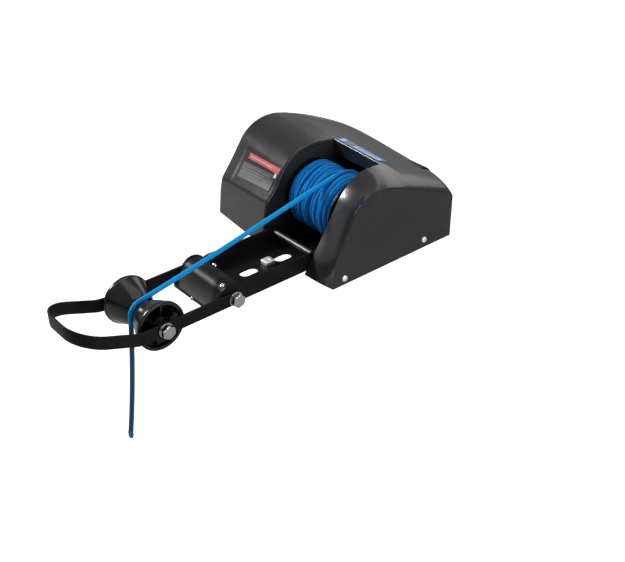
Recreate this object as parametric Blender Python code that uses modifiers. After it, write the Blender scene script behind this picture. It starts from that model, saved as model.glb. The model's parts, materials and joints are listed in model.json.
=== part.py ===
"""Electric anchor windlass with a hinged bow-roller arm.

Metres, +Z up. The origin is on the deck face, straight below the drum axis.
+X is port, -Y is forward over the bow, the drum turns about an axis along X.
"""
import math
import bmesh
import bpy

MM = 0.001
GAP = 0.3                      # clearance between touching pieces, in mm

# Driving dimensions, in mm.
DRUM_Z = 56.0                  # drum axis above the deck
PLATE_T = 3.0                  # steel plate thickness
BASE_TOP = PLATE_T + GAP       # what stands on the base plate starts here
BASE_FRONT, BASE_BACK = -64.5, 114.0
BASE_PORT, BASE_STBD = 91.0, -161.0
WALL = 3.0                     # moulded cover wall
COVER_PORT, COVER_STBD = 94.5, -164.5
COVER_FLOOR = 0.4              # the skirt stops just above the deck
WINDOW_PORT, WINDOW_STBD = 43.0, -45.5
WINDOW_BACK, WINDOW_R = 41.0, 56.0   # rear lip and inner radius of the drum window
CABLE_X, CABLE_Z = -103.0, 30.0

CHANNEL_HALF = 42.5            # outer half width of the channel
CHANNEL_TOP = 25.5
CHANNEL_FLOOR = BASE_TOP + PLATE_T
WALL_BACK = -52.0              # the side walls stop ahead of the drum flanges
PIVOT_Y, PIVOT_Z = -193.0, 13.0    # arm pivot bolt
AXLE_Y = -290.5                    # roller axle, level with the pivot
EAR_R = 19.5
SLOTS = ((-152.0, -126.0), (-98.0, -73.0))   # oval holes in the channel floor
SLOT_HALF = 7.5
CHANNEL_BOLT_Y = -109.0
SADDLE_R = 18.5

STRAP_IN, STRAP_T, STRAP_H = 44.3, 3.0, 17.0
BAIL_RISE_Y = -322.0
BAIL_RISE = math.radians(20.5)
BAIL_NOSE_Y = -396.0
BAIL_R = 34.0

ROLLER_HALF = 39.0
ROLLER_RIM_R = 31.0
ROLLER_GROOVE_R = 14.0
AXLE_R = 5.0                   # M10 bolts
BOLT_HEAD_R, BOLT_HEAD_T = 9.0, 6.6

DRUM_MID = -1.5                # middle of the drum along X
FLANGE_IN, FLANGE_T, FLANGE_R = 41.2, 2.0, 43.5
DRUM_CORE_R = 16.0
PACK_R = 42.0                  # outer radius of the wound rope
SHAFT_R = 8.0
SHAFT_END = 60.0
ROPE_R = 3.0

GEAR_TEETH, PINION_TEETH, MODULE = 40, 10, 1.5
GEAR_OFFSET = MODULE * (GEAR_TEETH + PINION_TEETH) / 2 + 0.5
LAY_Y = 35.0
LAY_Z = DRUM_Z - math.sqrt(GEAR_OFFSET ** 2 - LAY_Y ** 2)
LAY_R = 5.0
STAGE_1 = (-83.5, -77.0)       # motor pinion and first gear, along X
STAGE_2 = (-72.5, -62.5)       # second pinion and drum gear
CASE_STBD, CASE_SPLIT, CASE_PORT = -90.5, -74.5, -55.5
MOTOR_R = 31.0
MOTOR_SHAFT_R = 4.0
MOTOR_END, BELL_LENGTH = -157.5, 14.0
ARMATURE = (-131.5, -101.5)

TURN_X = (math.pi / 2, 0.0, math.pi / 2)   # local x, y, z become world Y, Z, X

scene_objects = list(bpy.data.objects)
for old in scene_objects:
    bpy.data.objects.remove(old, do_unlink=True)

parts = bpy.data.collections.new("anchor_windlass")
cutters = bpy.data.collections.new("cutters")
bpy.context.scene.collection.children.link(parts)
bpy.context.scene.collection.children.link(cutters)


def material(name, colour, roughness, metallic=0.0):
    mat = bpy.data.materials.new(name)
    mat.use_nodes = True
    shader = mat.node_tree.nodes["Principled BSDF"]
    shader.inputs["Base Color"].default_value = (*colour, 1.0)
    shader.inputs["Roughness"].default_value = roughness
    shader.inputs["Metallic"].default_value = metallic
    return mat


BLACK_STEEL = ("black_steel", (0.012, 0.012, 0.013), 0.42, 0.0)
COVER_PLASTIC = ("cover_plastic", (0.035, 0.035, 0.037), 0.45, 0.0)
BLACK_PLASTIC = ("black_plastic", (0.015, 0.015, 0.016), 0.4, 0.0)
ROLLER_PLASTIC = ("roller_plastic", (0.01, 0.01, 0.011), 0.22, 0.0)
STAINLESS = ("stainless", (0.62, 0.62, 0.61), 0.22, 1.0)
STEEL = ("steel", (0.5, 0.5, 0.5), 0.35, 1.0)
BRONZE = ("bronze", (0.45, 0.27, 0.11), 0.4, 1.0)
GREY_CAST = ("cast_alloy", (0.42, 0.42, 0.43), 0.45, 1.0)
COPPER = ("copper", (0.55, 0.22, 0.1), 0.4, 1.0)
ROPE_BLUE = ("rope_blue", (0.0, 0.17, 0.65), 0.7, 0.0)


def adopt(obj, name, look):
    """Name the object, give it its own material and file it with the parts."""
    obj.name = name
    obj.data.materials.clear()
    obj.data.materials.append(material(name + "_" + look[0], *look[1:]))
    for home in list(obj.users_collection):
        home.objects.unlink(obj)
    parts.objects.link(obj)
    return obj


def as_cutter(obj):
    """Move an object to the cutters, out of the finished part."""
    for home in list(obj.users_collection):
        home.objects.unlink(obj)
    cutters.objects.link(obj)
    obj.hide_render = True
    obj.display_type = "WIRE"
    return obj


def new_object(name, data, look=None):
    obj = bpy.data.objects.new(name, data)
    if look is None:
        return as_cutter(obj)
    return adopt(obj, name, look)


def box(name, low, high, look=None, bevel=0.0):
    """A cuboid between two corners, in mm, with optional rounded edges."""
    bpy.ops.mesh.primitive_cube_add(size=1.0)
    obj = bpy.context.active_object
    obj.scale = [(high[i] - low[i]) * MM for i in range(3)]
    bpy.ops.object.transform_apply(location=False, rotation=False, scale=True)
    obj.location = [(high[i] + low[i]) / 2 * MM for i in range(3)]
    if bevel:
        edge = obj.modifiers.new("Bevel", "BEVEL")
        edge.width = bevel * MM
        edge.segments = 2
    if look is None:
        return as_cutter(obj)
    return adopt(obj, name, look)


def rod_x(name, x0, x1, radius, y, z, look=None, sides=24):
    """A cylinder or hexagon lying along X."""
    bpy.ops.mesh.primitive_cylinder_add(vertices=sides, radius=radius * MM,
                                        depth=abs(x1 - x0) * MM)
    obj = bpy.context.active_object
    obj.rotation_euler = TURN_X
    obj.location = ((x0 + x1) / 2 * MM, y * MM, z * MM)
    if sides > 8:
        obj.data.shade_smooth()
        obj.data.set_sharp_from_angle(angle=math.radians(40))
    if look is None:
        return as_cutter(obj)
    return adopt(obj, name, look)


def rod_z(name, z0, z1, radius, x, y, look=None, sides=20):
    """A cylinder or prism standing on Z."""
    bpy.ops.mesh.primitive_cylinder_add(vertices=sides, radius=radius * MM,
                                        depth=abs(z1 - z0) * MM)
    obj = bpy.context.active_object
    obj.location = (x * MM, y * MM, (z0 + z1) / 2 * MM)
    if look is None:
        return as_cutter(obj)
    return adopt(obj, name, look)


def rod_y(name, y0, y1, radius, x, z, look=None, sides=16):
    """A cylinder or prism lying along Y."""
    obj = rod_z(name, 0.0, abs(y1 - y0), radius, 0.0, 0.0, look, sides)
    obj.rotation_euler = (math.pi / 2, 0.0, 0.0)
    obj.location = (x * MM, (y0 + y1) / 2 * MM, z * MM)
    return obj


def turned(name, profile, y, z, look, closed=True, steps=32):
    """Turn a profile about an axis along X.

    The profile is (radius, x) pairs in mm that run down the outer side from
    port to starboard; closed rings come back up the bore.
    """
    mesh = bpy.data.meshes.new(name)
    points = [(r * MM, 0.0, x * MM) for r, x in profile]
    count = len(points)
    edges = [(i, i + 1) for i in range(count - 1)]
    if closed:
        edges.append((count - 1, 0))
    mesh.from_pydata(points, edges, [])
    obj = new_object(name, mesh, look)
    spin = obj.modifiers.new("Screw", "SCREW")
    spin.steps = steps
    spin.render_steps = steps
    spin.use_merge_vertices = True
    spin.merge_threshold = 0.0001 * 0.1
    spin.use_smooth_shade = True
    obj.rotation_euler = TURN_X
    obj.location = (0.0, y * MM, z * MM)
    return obj


def washer_x(name, x0, x1, inner, outer, y, z, look, steps=16):
    """A plain ring or tube along X."""
    profile = [(outer, x1), (outer, x0), (inner, x0), (inner, x1)]
    return turned(name, profile, y, z, look, steps=steps)


def flat_curve(name, outlines, thickness):
    """A filled flat curve through closed outlines, with half the thickness each way."""
    curve = bpy.data.curves.new(name, "CURVE")
    curve.dimensions = "2D"
    curve.fill_mode = "BOTH"
    curve.extrude = thickness / 2 * MM
    for points in outlines:
        spline = curve.splines.new("POLY")
        spline.points.add(len(points) - 1)
        for point, (across, up) in zip(spline.points, points):
            point.co = (across * MM, up * MM, 0.0, 1.0)
        spline.use_cyclic_u = True
    return bpy.data.objects.new(name, curve)


def outline_plate(name, outlines, x0, x1, look=None):
    """A flat plate square to X from closed outlines of (y, z) points in mm."""
    obj = flat_curve(name, outlines, abs(x1 - x0))
    obj.rotation_euler = TURN_X
    obj.location = ((x0 + x1) / 2 * MM, 0.0, 0.0)
    if look is None:
        cutters.objects.link(obj)
        return obj
    return adopt(obj, name, look)


def to_mesh(obj, look=None):
    """Change a curve object into a welded mesh, so that it can be cut."""
    name = obj.name
    bpy.context.view_layer.update()
    graph = bpy.context.evaluated_depsgraph_get()
    mesh = bpy.data.meshes.new_from_object(obj.evaluated_get(graph))
    place = obj.matrix_world.copy()
    bpy.data.objects.remove(obj, do_unlink=True)
    shape = bmesh.new()
    shape.from_mesh(mesh)
    bmesh.ops.remove_doubles(shape, verts=shape.verts, dist=0.00001)
    bmesh.ops.recalc_face_normals(shape, faces=shape.faces)
    shape.to_mesh(mesh)
    shape.free()
    new = new_object(name, mesh, look)
    new.matrix_world = place
    return new


def cut(obj, cutter, operation="DIFFERENCE"):
    step = obj.modifiers.new("Boolean", "BOOLEAN")
    step.operation = operation
    step.object = cutter
    return obj


def arc(cy, cz, radius, start, end, count):
    """Points on an arc, angles in degrees from +Y towards +Z."""
    points = []
    for i in range(count + 1):
        angle = math.radians(start + (end - start) * i / count)
        points.append((cy + radius * math.cos(angle), cz + radius * math.sin(angle)))
    return points


def circle(cy, cz, radius, count=24):
    return arc(cy, cz, radius, 0.0, 360.0, count)[:-1]


# ---------------------------------------------------------------- chassis

def base_plate():
    """Deck plate under the whole housing, with deck-bolt holes and cover tabs."""
    plate = box("base_plate", (BASE_STBD, BASE_FRONT, 0.0),
                (BASE_PORT, BASE_BACK, PLATE_T), BLACK_STEEL)
    for x0, y0 in ((BASE_PORT - PLATE_T, -70.0), (BASE_PORT - PLATE_T, 64.0),
                   (BASE_STBD, -60.0), (BASE_STBD, 64.0)):
        cut(plate, box("cover_tab", (x0, y0, 0.6), (x0 + PLATE_T, y0 + 14.0, 19.0)), "UNION")
    for x in (BASE_STBD + 16.0, BASE_PORT - 14.0):
        for y in (BASE_FRONT + 16.0, BASE_BACK - 14.0):
            cut(plate, rod_z("deck_hole", -2.0, 6.0, 3.5, x, y, sides=12))
    return plate


def channel_side():
    """Side view of the channel: straight top, round ear about the pivot."""
    tail_top = CHANNEL_FLOOR - 0.5
    outline = [(BASE_BACK - 14.0, BASE_TOP), (BASE_BACK - 14.0, tail_top),
               (WALL_BACK, tail_top), (WALL_BACK, 18.0), (WALL_BACK - 9.0, CHANNEL_TOP),
               (PIVOT_Y + 20.5, CHANNEL_TOP)]
    outline += arc(PIVOT_Y, PIVOT_Z, EAR_R, 34.0, 190.0, 14)
    outline += arc(PIVOT_Y - 10.0, BASE_TOP + 9.0, 9.0, 190.0, 270.0, 5)
    return [outline, circle(PIVOT_Y, PIVOT_Z, AXLE_R + GAP, 20)]


def slot_cutter(name, y0, y1, half_width):
    """An oval slot through the channel floor."""
    outline = (arc(0.0, y1 - half_width, half_width, 0.0, 180.0, 10)
               + arc(0.0, y0 + half_width, half_width, 180.0, 360.0, 10))
    slot = flat_curve(name, [outline], 12.0)
    slot.location = (0.0, 0.0, 6.0 * MM)
    cutters.objects.link(slot)
    return to_mesh(slot)


def chassis_channel():
    """Pressed channel: its slotted floor runs back under the drum."""
    body = to_mesh(outline_plate("chassis_channel", channel_side(), -CHANNEL_HALF, CHANNEL_HALF),
                   BLACK_STEEL)
    inner = CHANNEL_HALF - PLATE_T
    floor_front = PIVOT_Y - 14.0
    cut(body, box("trough", (-inner, -250.0, CHANNEL_FLOOR), (inner, -30.0, 80.0)))
    cut(body, box("mouth", (-inner, -250.0, -5.0), (inner, floor_front, 20.0)))
    for y0, y1 in SLOTS:
        cut(body, slot_cutter("floor_slot", y0, y1, SLOT_HALF))
    cut(body, rod_z("centre_hole", 0.0, 12.0, 4.3, 0.0, CHANNEL_BOLT_Y, sides=16))
    return body


def channel_bolt():
    """Square-headed bolt through the middle of the channel floor."""
    head = box("channel_bolt", (-7.0, CHANNEL_BOLT_Y - 7.0, CHANNEL_FLOOR + GAP),
               (7.0, CHANNEL_BOLT_Y + 7.0, CHANNEL_FLOOR + 5.5), STAINLESS, bevel=1.0)
    stem = rod_z("channel_bolt_stem", 0.2, CHANNEL_FLOOR + 3.0, 3.9, 0.0, CHANNEL_BOLT_Y,
                 sides=16)
    cut(head, stem, "UNION")
    return head


def saddle_block():
    """Rounded block between the ears that the anchor shank rests on."""
    foot_front = PIVOT_Y - 31.0
    outline = [(foot_front, 1.5), (foot_front, 6.5)]
    outline += arc(PIVOT_Y, PIVOT_Z, SADDLE_R, 158.0, 0.0, 14)
    outline += [(PIVOT_Y + SADDLE_R, CHANNEL_FLOOR + GAP), (PIVOT_Y - 14.6, CHANNEL_FLOOR + GAP),
                (PIVOT_Y - 14.6, 1.5)]
    half = CHANNEL_HALF - PLATE_T - GAP
    return outline_plate("saddle_block", [outline, circle(PIVOT_Y, PIVOT_Z, AXLE_R + GAP, 20)],
                         -half, half, BLACK_PLASTIC)


def saddle_screws():
    """Button-headed screws that stand on the saddle."""
    def head(name, x, angle):
        reach = SADDLE_R + GAP
        lean = math.radians(angle)
        bpy.ops.mesh.primitive_cylinder_add(vertices=16, radius=3.3 * MM, depth=2.4 * MM)
        obj = bpy.context.active_object
        obj.rotation_euler = (lean - math.pi / 2, 0.0, 0.0)
        mid = reach + 1.2
        obj.location = (x * MM, (PIVOT_Y + mid * math.cos(lean)) * MM,
                        (PIVOT_Z + mid * math.sin(lean)) * MM)
        edge = obj.modifiers.new("Bevel", "BEVEL")
        edge.width = 0.8 * MM
        edge.segments = 2
        return adopt(obj, name, STAINLESS)
    head("saddle_screw_aft", -13.0, 44.0)
    head("saddle_screw_port", 35.5, 120.0)
    front = PIVOT_Y - 31.0 - GAP
    rod_y("saddle_screw_fore", front - 2.4, front, 2.4, 1.0, 4.0, STAINLESS)


def cross_rod():
    """Guide rod across the channel in front of the drum, with its collars."""
    end = CHANNEL_HALF - PLATE_T - GAP
    return rod_x("guide_rod", -end, end, 4.0, -67.0, 19.5, BLACK_STEEL, sides=16)


def pivot_set():
    """Long bolt through the straps, spacers, ears and saddle."""
    reach = STRAP_IN + STRAP_T
    bolt_set("pivot", PIVOT_Y, reach)
    for side, label in ((1, "port"), (-1, "starboard")):
        x0, x1 = CHANNEL_HALF + GAP, STRAP_IN - GAP
        lo, hi = (x0, x1) if side > 0 else (-x1, -x0)
        washer_x("pivot_spacer_" + label, lo, hi, AXLE_R + GAP, 11.0, PIVOT_Y, PIVOT_Z,
                 BLACK_PLASTIC)


def bolt_set(stem, y, reach):
    """Hex bolt with its head to port, and a nut with a washer on each side."""
    face = reach + GAP
    washer_x(stem + "_washer_port", face, face + 1.6, AXLE_R + GAP, 9.4, y, PIVOT_Z, STAINLESS)
    washer_x(stem + "_washer_starboard", -face - 1.6, -face, AXLE_R + GAP, 9.4, y, PIVOT_Z,
             STAINLESS)
    seat = face + 1.6 + GAP
    bolt = rod_x(stem + "_bolt", seat, seat + BOLT_HEAD_T, BOLT_HEAD_R, y, PIVOT_Z, STAINLESS,
                 sides=6)
    shank = rod_x(stem + "_shank", -seat - BOLT_HEAD_T - 3.0, seat + 1.0, AXLE_R, y, PIVOT_Z)
    cut(bolt, shank, "UNION")
    nut = rod_x(stem + "_nut", -seat - BOLT_HEAD_T, -seat, BOLT_HEAD_R, y, PIVOT_Z, STAINLESS,
                sides=6)
    cut(nut, rod_x(stem + "_nut_bore", -seat - 20.0, -seat + 5.0, AXLE_R + GAP, y, PIVOT_Z))


def drum_frames():
    """Upright bearing plates outboard of the window cheeks, with bolted feet."""
    top = DRUM_Z + 26.0
    for side, label in ((1, "port"), (-1, "starboard")):
        inner = WINDOW_PORT + WALL + GAP if side > 0 else -(WINDOW_STBD - WALL - GAP)
        x0, x1 = (inner, inner + PLATE_T) if side > 0 else (-inner - PLATE_T, -inner)
        outline = [(-40.0, BASE_TOP), (-40.0, 30.0)]
        outline += arc(0.0, DRUM_Z, top - DRUM_Z, 160.0, 20.0, 10)
        outline += [(40.0, 30.0), (40.0, BASE_TOP)]
        bore = circle(0.0, DRUM_Z, 12.0, 24)
        plate = to_mesh(outline_plate("drum_frame_" + label, [outline, bore], x0, x1),
                        BLACK_STEEL)
        lo, hi = (inner + 1.0, inner + 16.0) if side > 0 else (-inner - 16.0, -inner - 1.0)
        foot_back = 40.0 if side > 0 else 2.0     # the layshaft casing hangs low aft
        foot = box("foot_" + label, (lo, -40.0, BASE_TOP), (hi, foot_back, BASE_TOP + PLATE_T))
        cut(plate, foot, "UNION")
        washer_x("drum_bearing_" + label, x0 - 0.5, x1 + 0.5, SHAFT_R + GAP, 12.0 - GAP,
                 0.0, DRUM_Z, BRONZE)


# ---------------------------------------------------------------- housing

def cover_section(t):
    """Outline of the cover at t from 0, the inner crown, to 1, the end face."""
    inner = [(-86.0, COVER_FLOOR), (-71.0, 24.0), (-55.0, 46.0), (-27.0, 90.0), (-15.0, 101.0),
             (-3.5, 108.0), (10.0, 112.0), (28.0, 112.5), (45.0, 110.5), (80.0, 97.5),
             (116.0, 83.0), (123.5, 74.0), (121.0, COVER_FLOOR)]
    outer = [(-82.0, COVER_FLOOR), (-78.5, 38.0), (-62.0, 66.0), (-50.5, 90.0), (-35.0, 104.0),
             (-27.0, 107.5), (-18.0, 109.0), (8.0, 108.0), (44.0, 93.4), (80.0, 78.7),
             (115.0, 64.4), (122.0, 58.5), (120.0, COVER_FLOOR)]
    return [(a[0] + (b[0] - a[0]) * t, a[1] + (b[1] - a[1]) * t) for a, b in zip(inner, outer)]


def motor_section(t):
    """Outline of the motor pod at t from 0, beside the drum, to 1, its end.

    Its back swells upwards by 3 mm plus 5 mm times the sine of pi t.
    """
    inner = [(-82.0, COVER_FLOOR), (-77.0, 40.0), (-72.0, 61.0), (-57.0, 76.0), (-47.0, 95.0),
             (-32.0, 110.0), (-17.0, 118.0), (8.0, 120.5), (45.0, 114.0), (80.0, 103.0),
             (116.0, 89.0), (124.0, 79.0), (121.0, COVER_FLOOR)]
    outer = [(-69.0, COVER_FLOOR), (-65.0, 34.0), (-61.0, 50.0), (-41.0, 75.0), (-20.0, 104.5),
             (-3.0, 115.0), (14.0, 119.0), (31.0, 118.5), (52.0, 112.0), (82.0, 100.0),
             (113.0, 85.0), (121.0, 75.0), (118.0, COVER_FLOOR)]
    rise = 3.0 + 5.0 * math.sin(math.pi * t)
    made = []
    for a, b in zip(inner, outer):
        y, z = a[0] + (b[0] - a[0]) * t, a[1] + (b[1] - a[1]) * t
        share = min(1.0, max(0.0, (y - 20.0) / 90.0)) if z > 60.0 else 0.0
        made.append((y, z + rise * share))
    return made


def loft(name, stations, look=None):
    """Join equal-count outlines at several x into one closed solid."""
    shape = bmesh.new()
    rings = []
    for x, outline in stations:
        rings.append([shape.verts.new((x * MM, y * MM, z * MM)) for y, z in outline])
    for near, far in zip(rings, rings[1:]):
        for i in range(len(near)):
            j = (i + 1) % len(near)
            shape.faces.new((near[i], near[j], far[j], far[i]))
    shape.faces.new(rings[0])
    shape.faces.new(rings[-1])
    bmesh.ops.recalc_face_normals(shape, faces=shape.faces)
    mesh = bpy.data.meshes.new(name)
    shape.to_mesh(mesh)
    shape.free()
    return new_object(name, mesh, look)


def inset(outline, depth, drop):
    """Move an outline inwards by depth; its two floor points go down by drop."""
    moved = []
    count = len(outline)
    for i, (y, z) in enumerate(outline):
        before, after = outline[i - 1], outline[(i + 1) % count]
        if i == 0:
            before = (y, z - 10.0)
        if i == count - 1:
            after = (y, z - 10.0)
        dy, dz = after[0] - before[0], after[1] - before[1]
        size = math.hypot(dy, dz)
        moved.append((y + dz / size * depth, z - dy / size * depth))
    moved[0] = (moved[0][0], outline[0][1] - drop)
    moved[-1] = (moved[-1][0], outline[-1][1] - drop)
    return moved


def crown(x, x_in, x_out):
    """Share of the way from the inner crown to the end outline, as an ellipse."""
    u = (x - x_in) / (x_out - x_in)
    return 1.0 - math.sqrt(max(0.0, 1.0 - u * u))


def cover_stations():
    """Outlines of the cover from port to starboard, as (x, outline) pairs."""
    made = []
    for x in (COVER_PORT, 88.5, 76.5, 58.5):
        made.append((x, cover_section(crown(x, WINDOW_PORT, COVER_PORT))))
    made.append((WINDOW_PORT, cover_section(0.0)))
    made.append((WINDOW_STBD, motor_section(0.0)))
    for x in (-73.5, -113.5, -143.5, -158.5, COVER_STBD):
        made.append((x, motor_section((x - WINDOW_STBD) / (COVER_STBD - WINDOW_STBD))))
    return made


def between(stations, x):
    """The outline at x, between the two stations on each side of it."""
    for (xa, a), (xb, b) in zip(stations, stations[1:]):
        if xb <= x <= xa:
            u = (x - xa) / (xb - xa)
            return [(p[0] + (q[0] - p[0]) * u, p[1] + (q[1] - p[1]) * u) for p, q in zip(a, b)]
    return stations[-1][1]


def chamber(name, x_port, x_stbd):
    """Hollow of one pod: the cover's outlines moved in by its wall."""
    shell = [(x, inset(line, WALL, 5.0)) for x, line in cover_stations()]
    inside = [s for s in shell if x_stbd < s[0] < x_port]
    return loft(name, [(x_port, between(shell, x_port))] + inside
                + [(x_stbd, between(shell, x_stbd))])


def housing_cover():
    """One moulding: motor pod, bridge behind the drum and port pod."""
    cover = loft("housing_cover", cover_stations(), COVER_PLASTIC)
    cut(cover, chamber("port_chamber", COVER_PORT - WALL, WINDOW_PORT + WALL))
    cut(cover, chamber("motor_chamber", WINDOW_STBD - WALL, COVER_STBD + WALL))
    cut(cover, drum_window())
    cut(cover, bridge_room())
    cut(cover, box("channel_notch", (WINDOW_STBD + 0.1, 38.0, -5.0),
                   (WINDOW_PORT - 0.1, 52.0, CHANNEL_FLOOR + 1.5)))
    cut(cover, box("base_pocket", (BASE_STBD - GAP, BASE_FRONT - GAP, -5.0),
                   (BASE_PORT + GAP, BASE_BACK + GAP, BASE_TOP)))
    for name, x0, x1 in (("cheek_port", WINDOW_PORT - 1.0, WINDOW_PORT + WALL + 1.0),
                         ("cheek_starboard", WINDOW_STBD - WALL - 1.0, WINDOW_STBD + 1.0)):
        cut(cover, rod_x(name, x0, x1, 20.0, 0.0, DRUM_Z, sides=24))
    cut(cover, rod_y("cable_hole", 109.0, 129.0, 6.0, CABLE_X, CABLE_Z))
    return cover


def drum_window():
    """The drum's chamber: open forward and up, closed by the bridge behind."""
    outline = [(-120.0, -5.0), (-120.0, 150.0), (WINDOW_BACK, 150.0), (WINDOW_BACK, 109.0)]
    outline += arc(0.0, DRUM_Z, WINDOW_R, 45.0, -40.0, 8)
    outline += [(43.0, -5.0)]
    return to_mesh(outline_plate("drum_window", [outline], WINDOW_STBD, WINDOW_PORT))


def bridge_room():
    """Hollow behind the drum's chamber, under the sloping bridge."""
    outline = [(46.5, -5.0)] + arc(0.0, DRUM_Z, WINDOW_R + WALL, -38.0, 42.0, 8)
    outline += [(WINDOW_BACK + 3.5, 105.5), (114.5, 77.5), (118.0, 69.0), (117.5, -5.0)]
    return to_mesh(outline_plate("bridge_room", [outline], WINDOW_STBD, WINDOW_PORT))


def cover_screws():
    """Screws through the end walls of the cover into the base plate's tabs."""
    spots = ((COVER_PORT + GAP, 1, "port_fore", -64.0, 9.5),
             (COVER_PORT + GAP, 1, "port_aft", 71.0, 12.0),
             (COVER_STBD - GAP, -1, "starboard_fore", -53.0, 11.0),
             (COVER_STBD - GAP, -1, "starboard_aft", 71.0, 12.0))
    for face, side, label, y, z in spots:
        head = rod_x("cover_screw_" + label, face, face + side * 2.2, 4.2, y, z, STAINLESS,
                     sides=16)
        edge = head.modifiers.new("Bevel", "BEVEL")
        edge.width = 0.8 * MM
        edge.segments = 2


def cable_inlet():
    """Cable gland through the cover's back wall, low on the motor side."""
    gland = rod_y("cable_gland", 114.0, 133.0, 5.6, CABLE_X, CABLE_Z, BLACK_PLASTIC)
    cut(gland, rod_y("gland_collar", 121.5, 127.0, 9.0, CABLE_X, CABLE_Z, sides=6), "UNION")
    cut(gland, rod_y("gland_bore", 100.0, 140.0, 3.2, CABLE_X, CABLE_Z))


# ---------------------------------------------------------------- drive

def gear_outline(teeth, y, z, phase=0.0):
    """Trapezoid teeth, four points a tooth, on a pitch circle of teeth x module."""
    pitch = teeth * MODULE / 2
    tip, root = pitch + 0.85 * MODULE, pitch - 1.15 * MODULE
    points = []
    for tooth in range(teeth):
        base = 2 * math.pi * (tooth + phase) / teeth
        step = 2 * math.pi / teeth
        for radius, offset in ((root, -0.30), (tip, -0.14), (tip, 0.14), (root, 0.30)):
            angle = base + offset * step
            points.append((y + radius * math.cos(angle), z + radius * math.sin(angle)))
    return points


def gear(name, teeth, x0, x1, y, z, bore, look, phase=0.0):
    return outline_plate(name, [gear_outline(teeth, y, z, phase), circle(y, z, bore, 20)],
                         x0, x1, look)


def mesh_phase(teeth, partner_teeth):
    """Turn of the driven gear that puts a gap where its partner has a tooth."""
    toward = math.atan2(LAY_Z - DRUM_Z, LAY_Y)
    partner = toward / (2 * math.pi) * partner_teeth
    own = (toward + math.pi) / (2 * math.pi) * teeth
    return own + 0.5 + (partner - math.floor(partner))


def drive_train():
    """Two spur stages that bring the motor down to the drum shaft."""
    rod_x("drum_shaft", STAGE_2[0] - 0.7, SHAFT_END, SHAFT_R, 0.0, DRUM_Z, STEEL)
    gear("drum_gear", GEAR_TEETH, *STAGE_2, 0.0, DRUM_Z, SHAFT_R + GAP, STEEL)
    gear("layshaft_pinion", PINION_TEETH, *STAGE_2, LAY_Y, LAY_Z, LAY_R + GAP, STEEL,
         mesh_phase(PINION_TEETH, GEAR_TEETH))
    gear("motor_pinion", PINION_TEETH, *STAGE_1, 0.0, DRUM_Z, MOTOR_SHAFT_R + GAP, STEEL)
    gear("layshaft_gear", GEAR_TEETH, *STAGE_1, LAY_Y, LAY_Z, LAY_R + GAP, BRONZE,
         mesh_phase(GEAR_TEETH, PINION_TEETH))
    rod_x("layshaft", STAGE_1[0] - 3.0, STAGE_2[1] + 3.0, LAY_R, LAY_Y, LAY_Z, STEEL)
    rod_x("motor_shaft", MOTOR_END + 4.0, STAGE_1[1] + 1.5, MOTOR_SHAFT_R, 0.0, DRUM_Z, STEEL,
          sides=20)
    washer_x("shaft_collar", SHAFT_END - 6.0, SHAFT_END - 2.0, SHAFT_R + GAP, 13.0, 0.0, DRUM_Z,
             STEEL)


def case_outline(margin):
    """Rounded outline round the drum gear and the layshaft gear."""
    radius = (GEAR_TEETH + 2) * MODULE / 2 + margin
    tilt = math.degrees(math.atan2(LAY_Z - DRUM_Z, LAY_Y))
    return (arc(0.0, DRUM_Z, radius, tilt + 90.0, tilt + 270.0, 16)
            + arc(LAY_Y, LAY_Z, radius, tilt - 90.0, tilt + 90.0, 16))


def gearbox():
    """Two half casings round the gears, open towards each other."""
    halves = (("gearbox_case", CASE_STBD, CASE_SPLIT, CASE_STBD + 3.0, 10.0, MOTOR_SHAFT_R + GAP),
              ("gearbox_lid", CASE_SPLIT + GAP, CASE_PORT, CASE_PORT - 3.0, -10.0,
               SHAFT_R + GAP))
    for name, x0, x1, inside, over, bore in halves:
        half = to_mesh(outline_plate(name, [case_outline(5.0)], x0, x1), GREY_CAST)
        low, high = (inside, x1 + over) if over > 0 else (x0 + over, inside)
        cut(half, to_mesh(outline_plate(name + "_room", [case_outline(1.5)], low, high)))
        cut(half, rod_x(name + "_bore", x0 - 5.0, x1 + 5.0, bore, 0.0, DRUM_Z))


def motor():
    """Permanent-magnet motor: can with one open end, end bell, armature."""
    bore = MOTOR_SHAFT_R + GAP
    can = rod_x("motor_can", MOTOR_END + BELL_LENGTH, CASE_STBD - GAP, MOTOR_R, 0.0, DRUM_Z,
                BLACK_STEEL, sides=32)
    cut(can, rod_x("can_room", MOTOR_END, CASE_STBD - 4.0, MOTOR_R - 2.0, 0.0, DRUM_Z, sides=32))
    cut(can, rod_x("can_bore", MOTOR_END, CASE_STBD + 5.0, bore, 0.0, DRUM_Z, sides=20))
    bell = rod_x("motor_end_bell", MOTOR_END, MOTOR_END + BELL_LENGTH - GAP, MOTOR_R - 0.5, 0.0,
                 DRUM_Z, GREY_CAST, sides=32)
    cut(bell, rod_x("bell_room", MOTOR_END + 3.0, MOTOR_END + 20.0, MOTOR_R - 3.0, 0.0, DRUM_Z,
                    sides=32))
    cut(bell, rod_x("bell_bore", MOTOR_END - 3.0, MOTOR_END + 20.0, bore, 0.0, DRUM_Z, sides=20))
    washer_x("motor_armature", *ARMATURE, bore, 20.0, 0.0, DRUM_Z, COPPER)
    washer_x("motor_commutator", MOTOR_END + 11.0, MOTOR_END + 23.0, bore, 11.0, 0.0, DRUM_Z,
             COPPER)
    for label, start in (("upper", 35.0), ("lower", 215.0)):
        outer = arc(0.0, DRUM_Z, MOTOR_R - 2.0 - GAP, start, start + 110.0, 10)
        inner = arc(0.0, DRUM_Z, 21.5, start + 110.0, start, 10)
        outline_plate("motor_magnet_" + label, [outer + inner], *ARMATURE, GREY_CAST)


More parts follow.
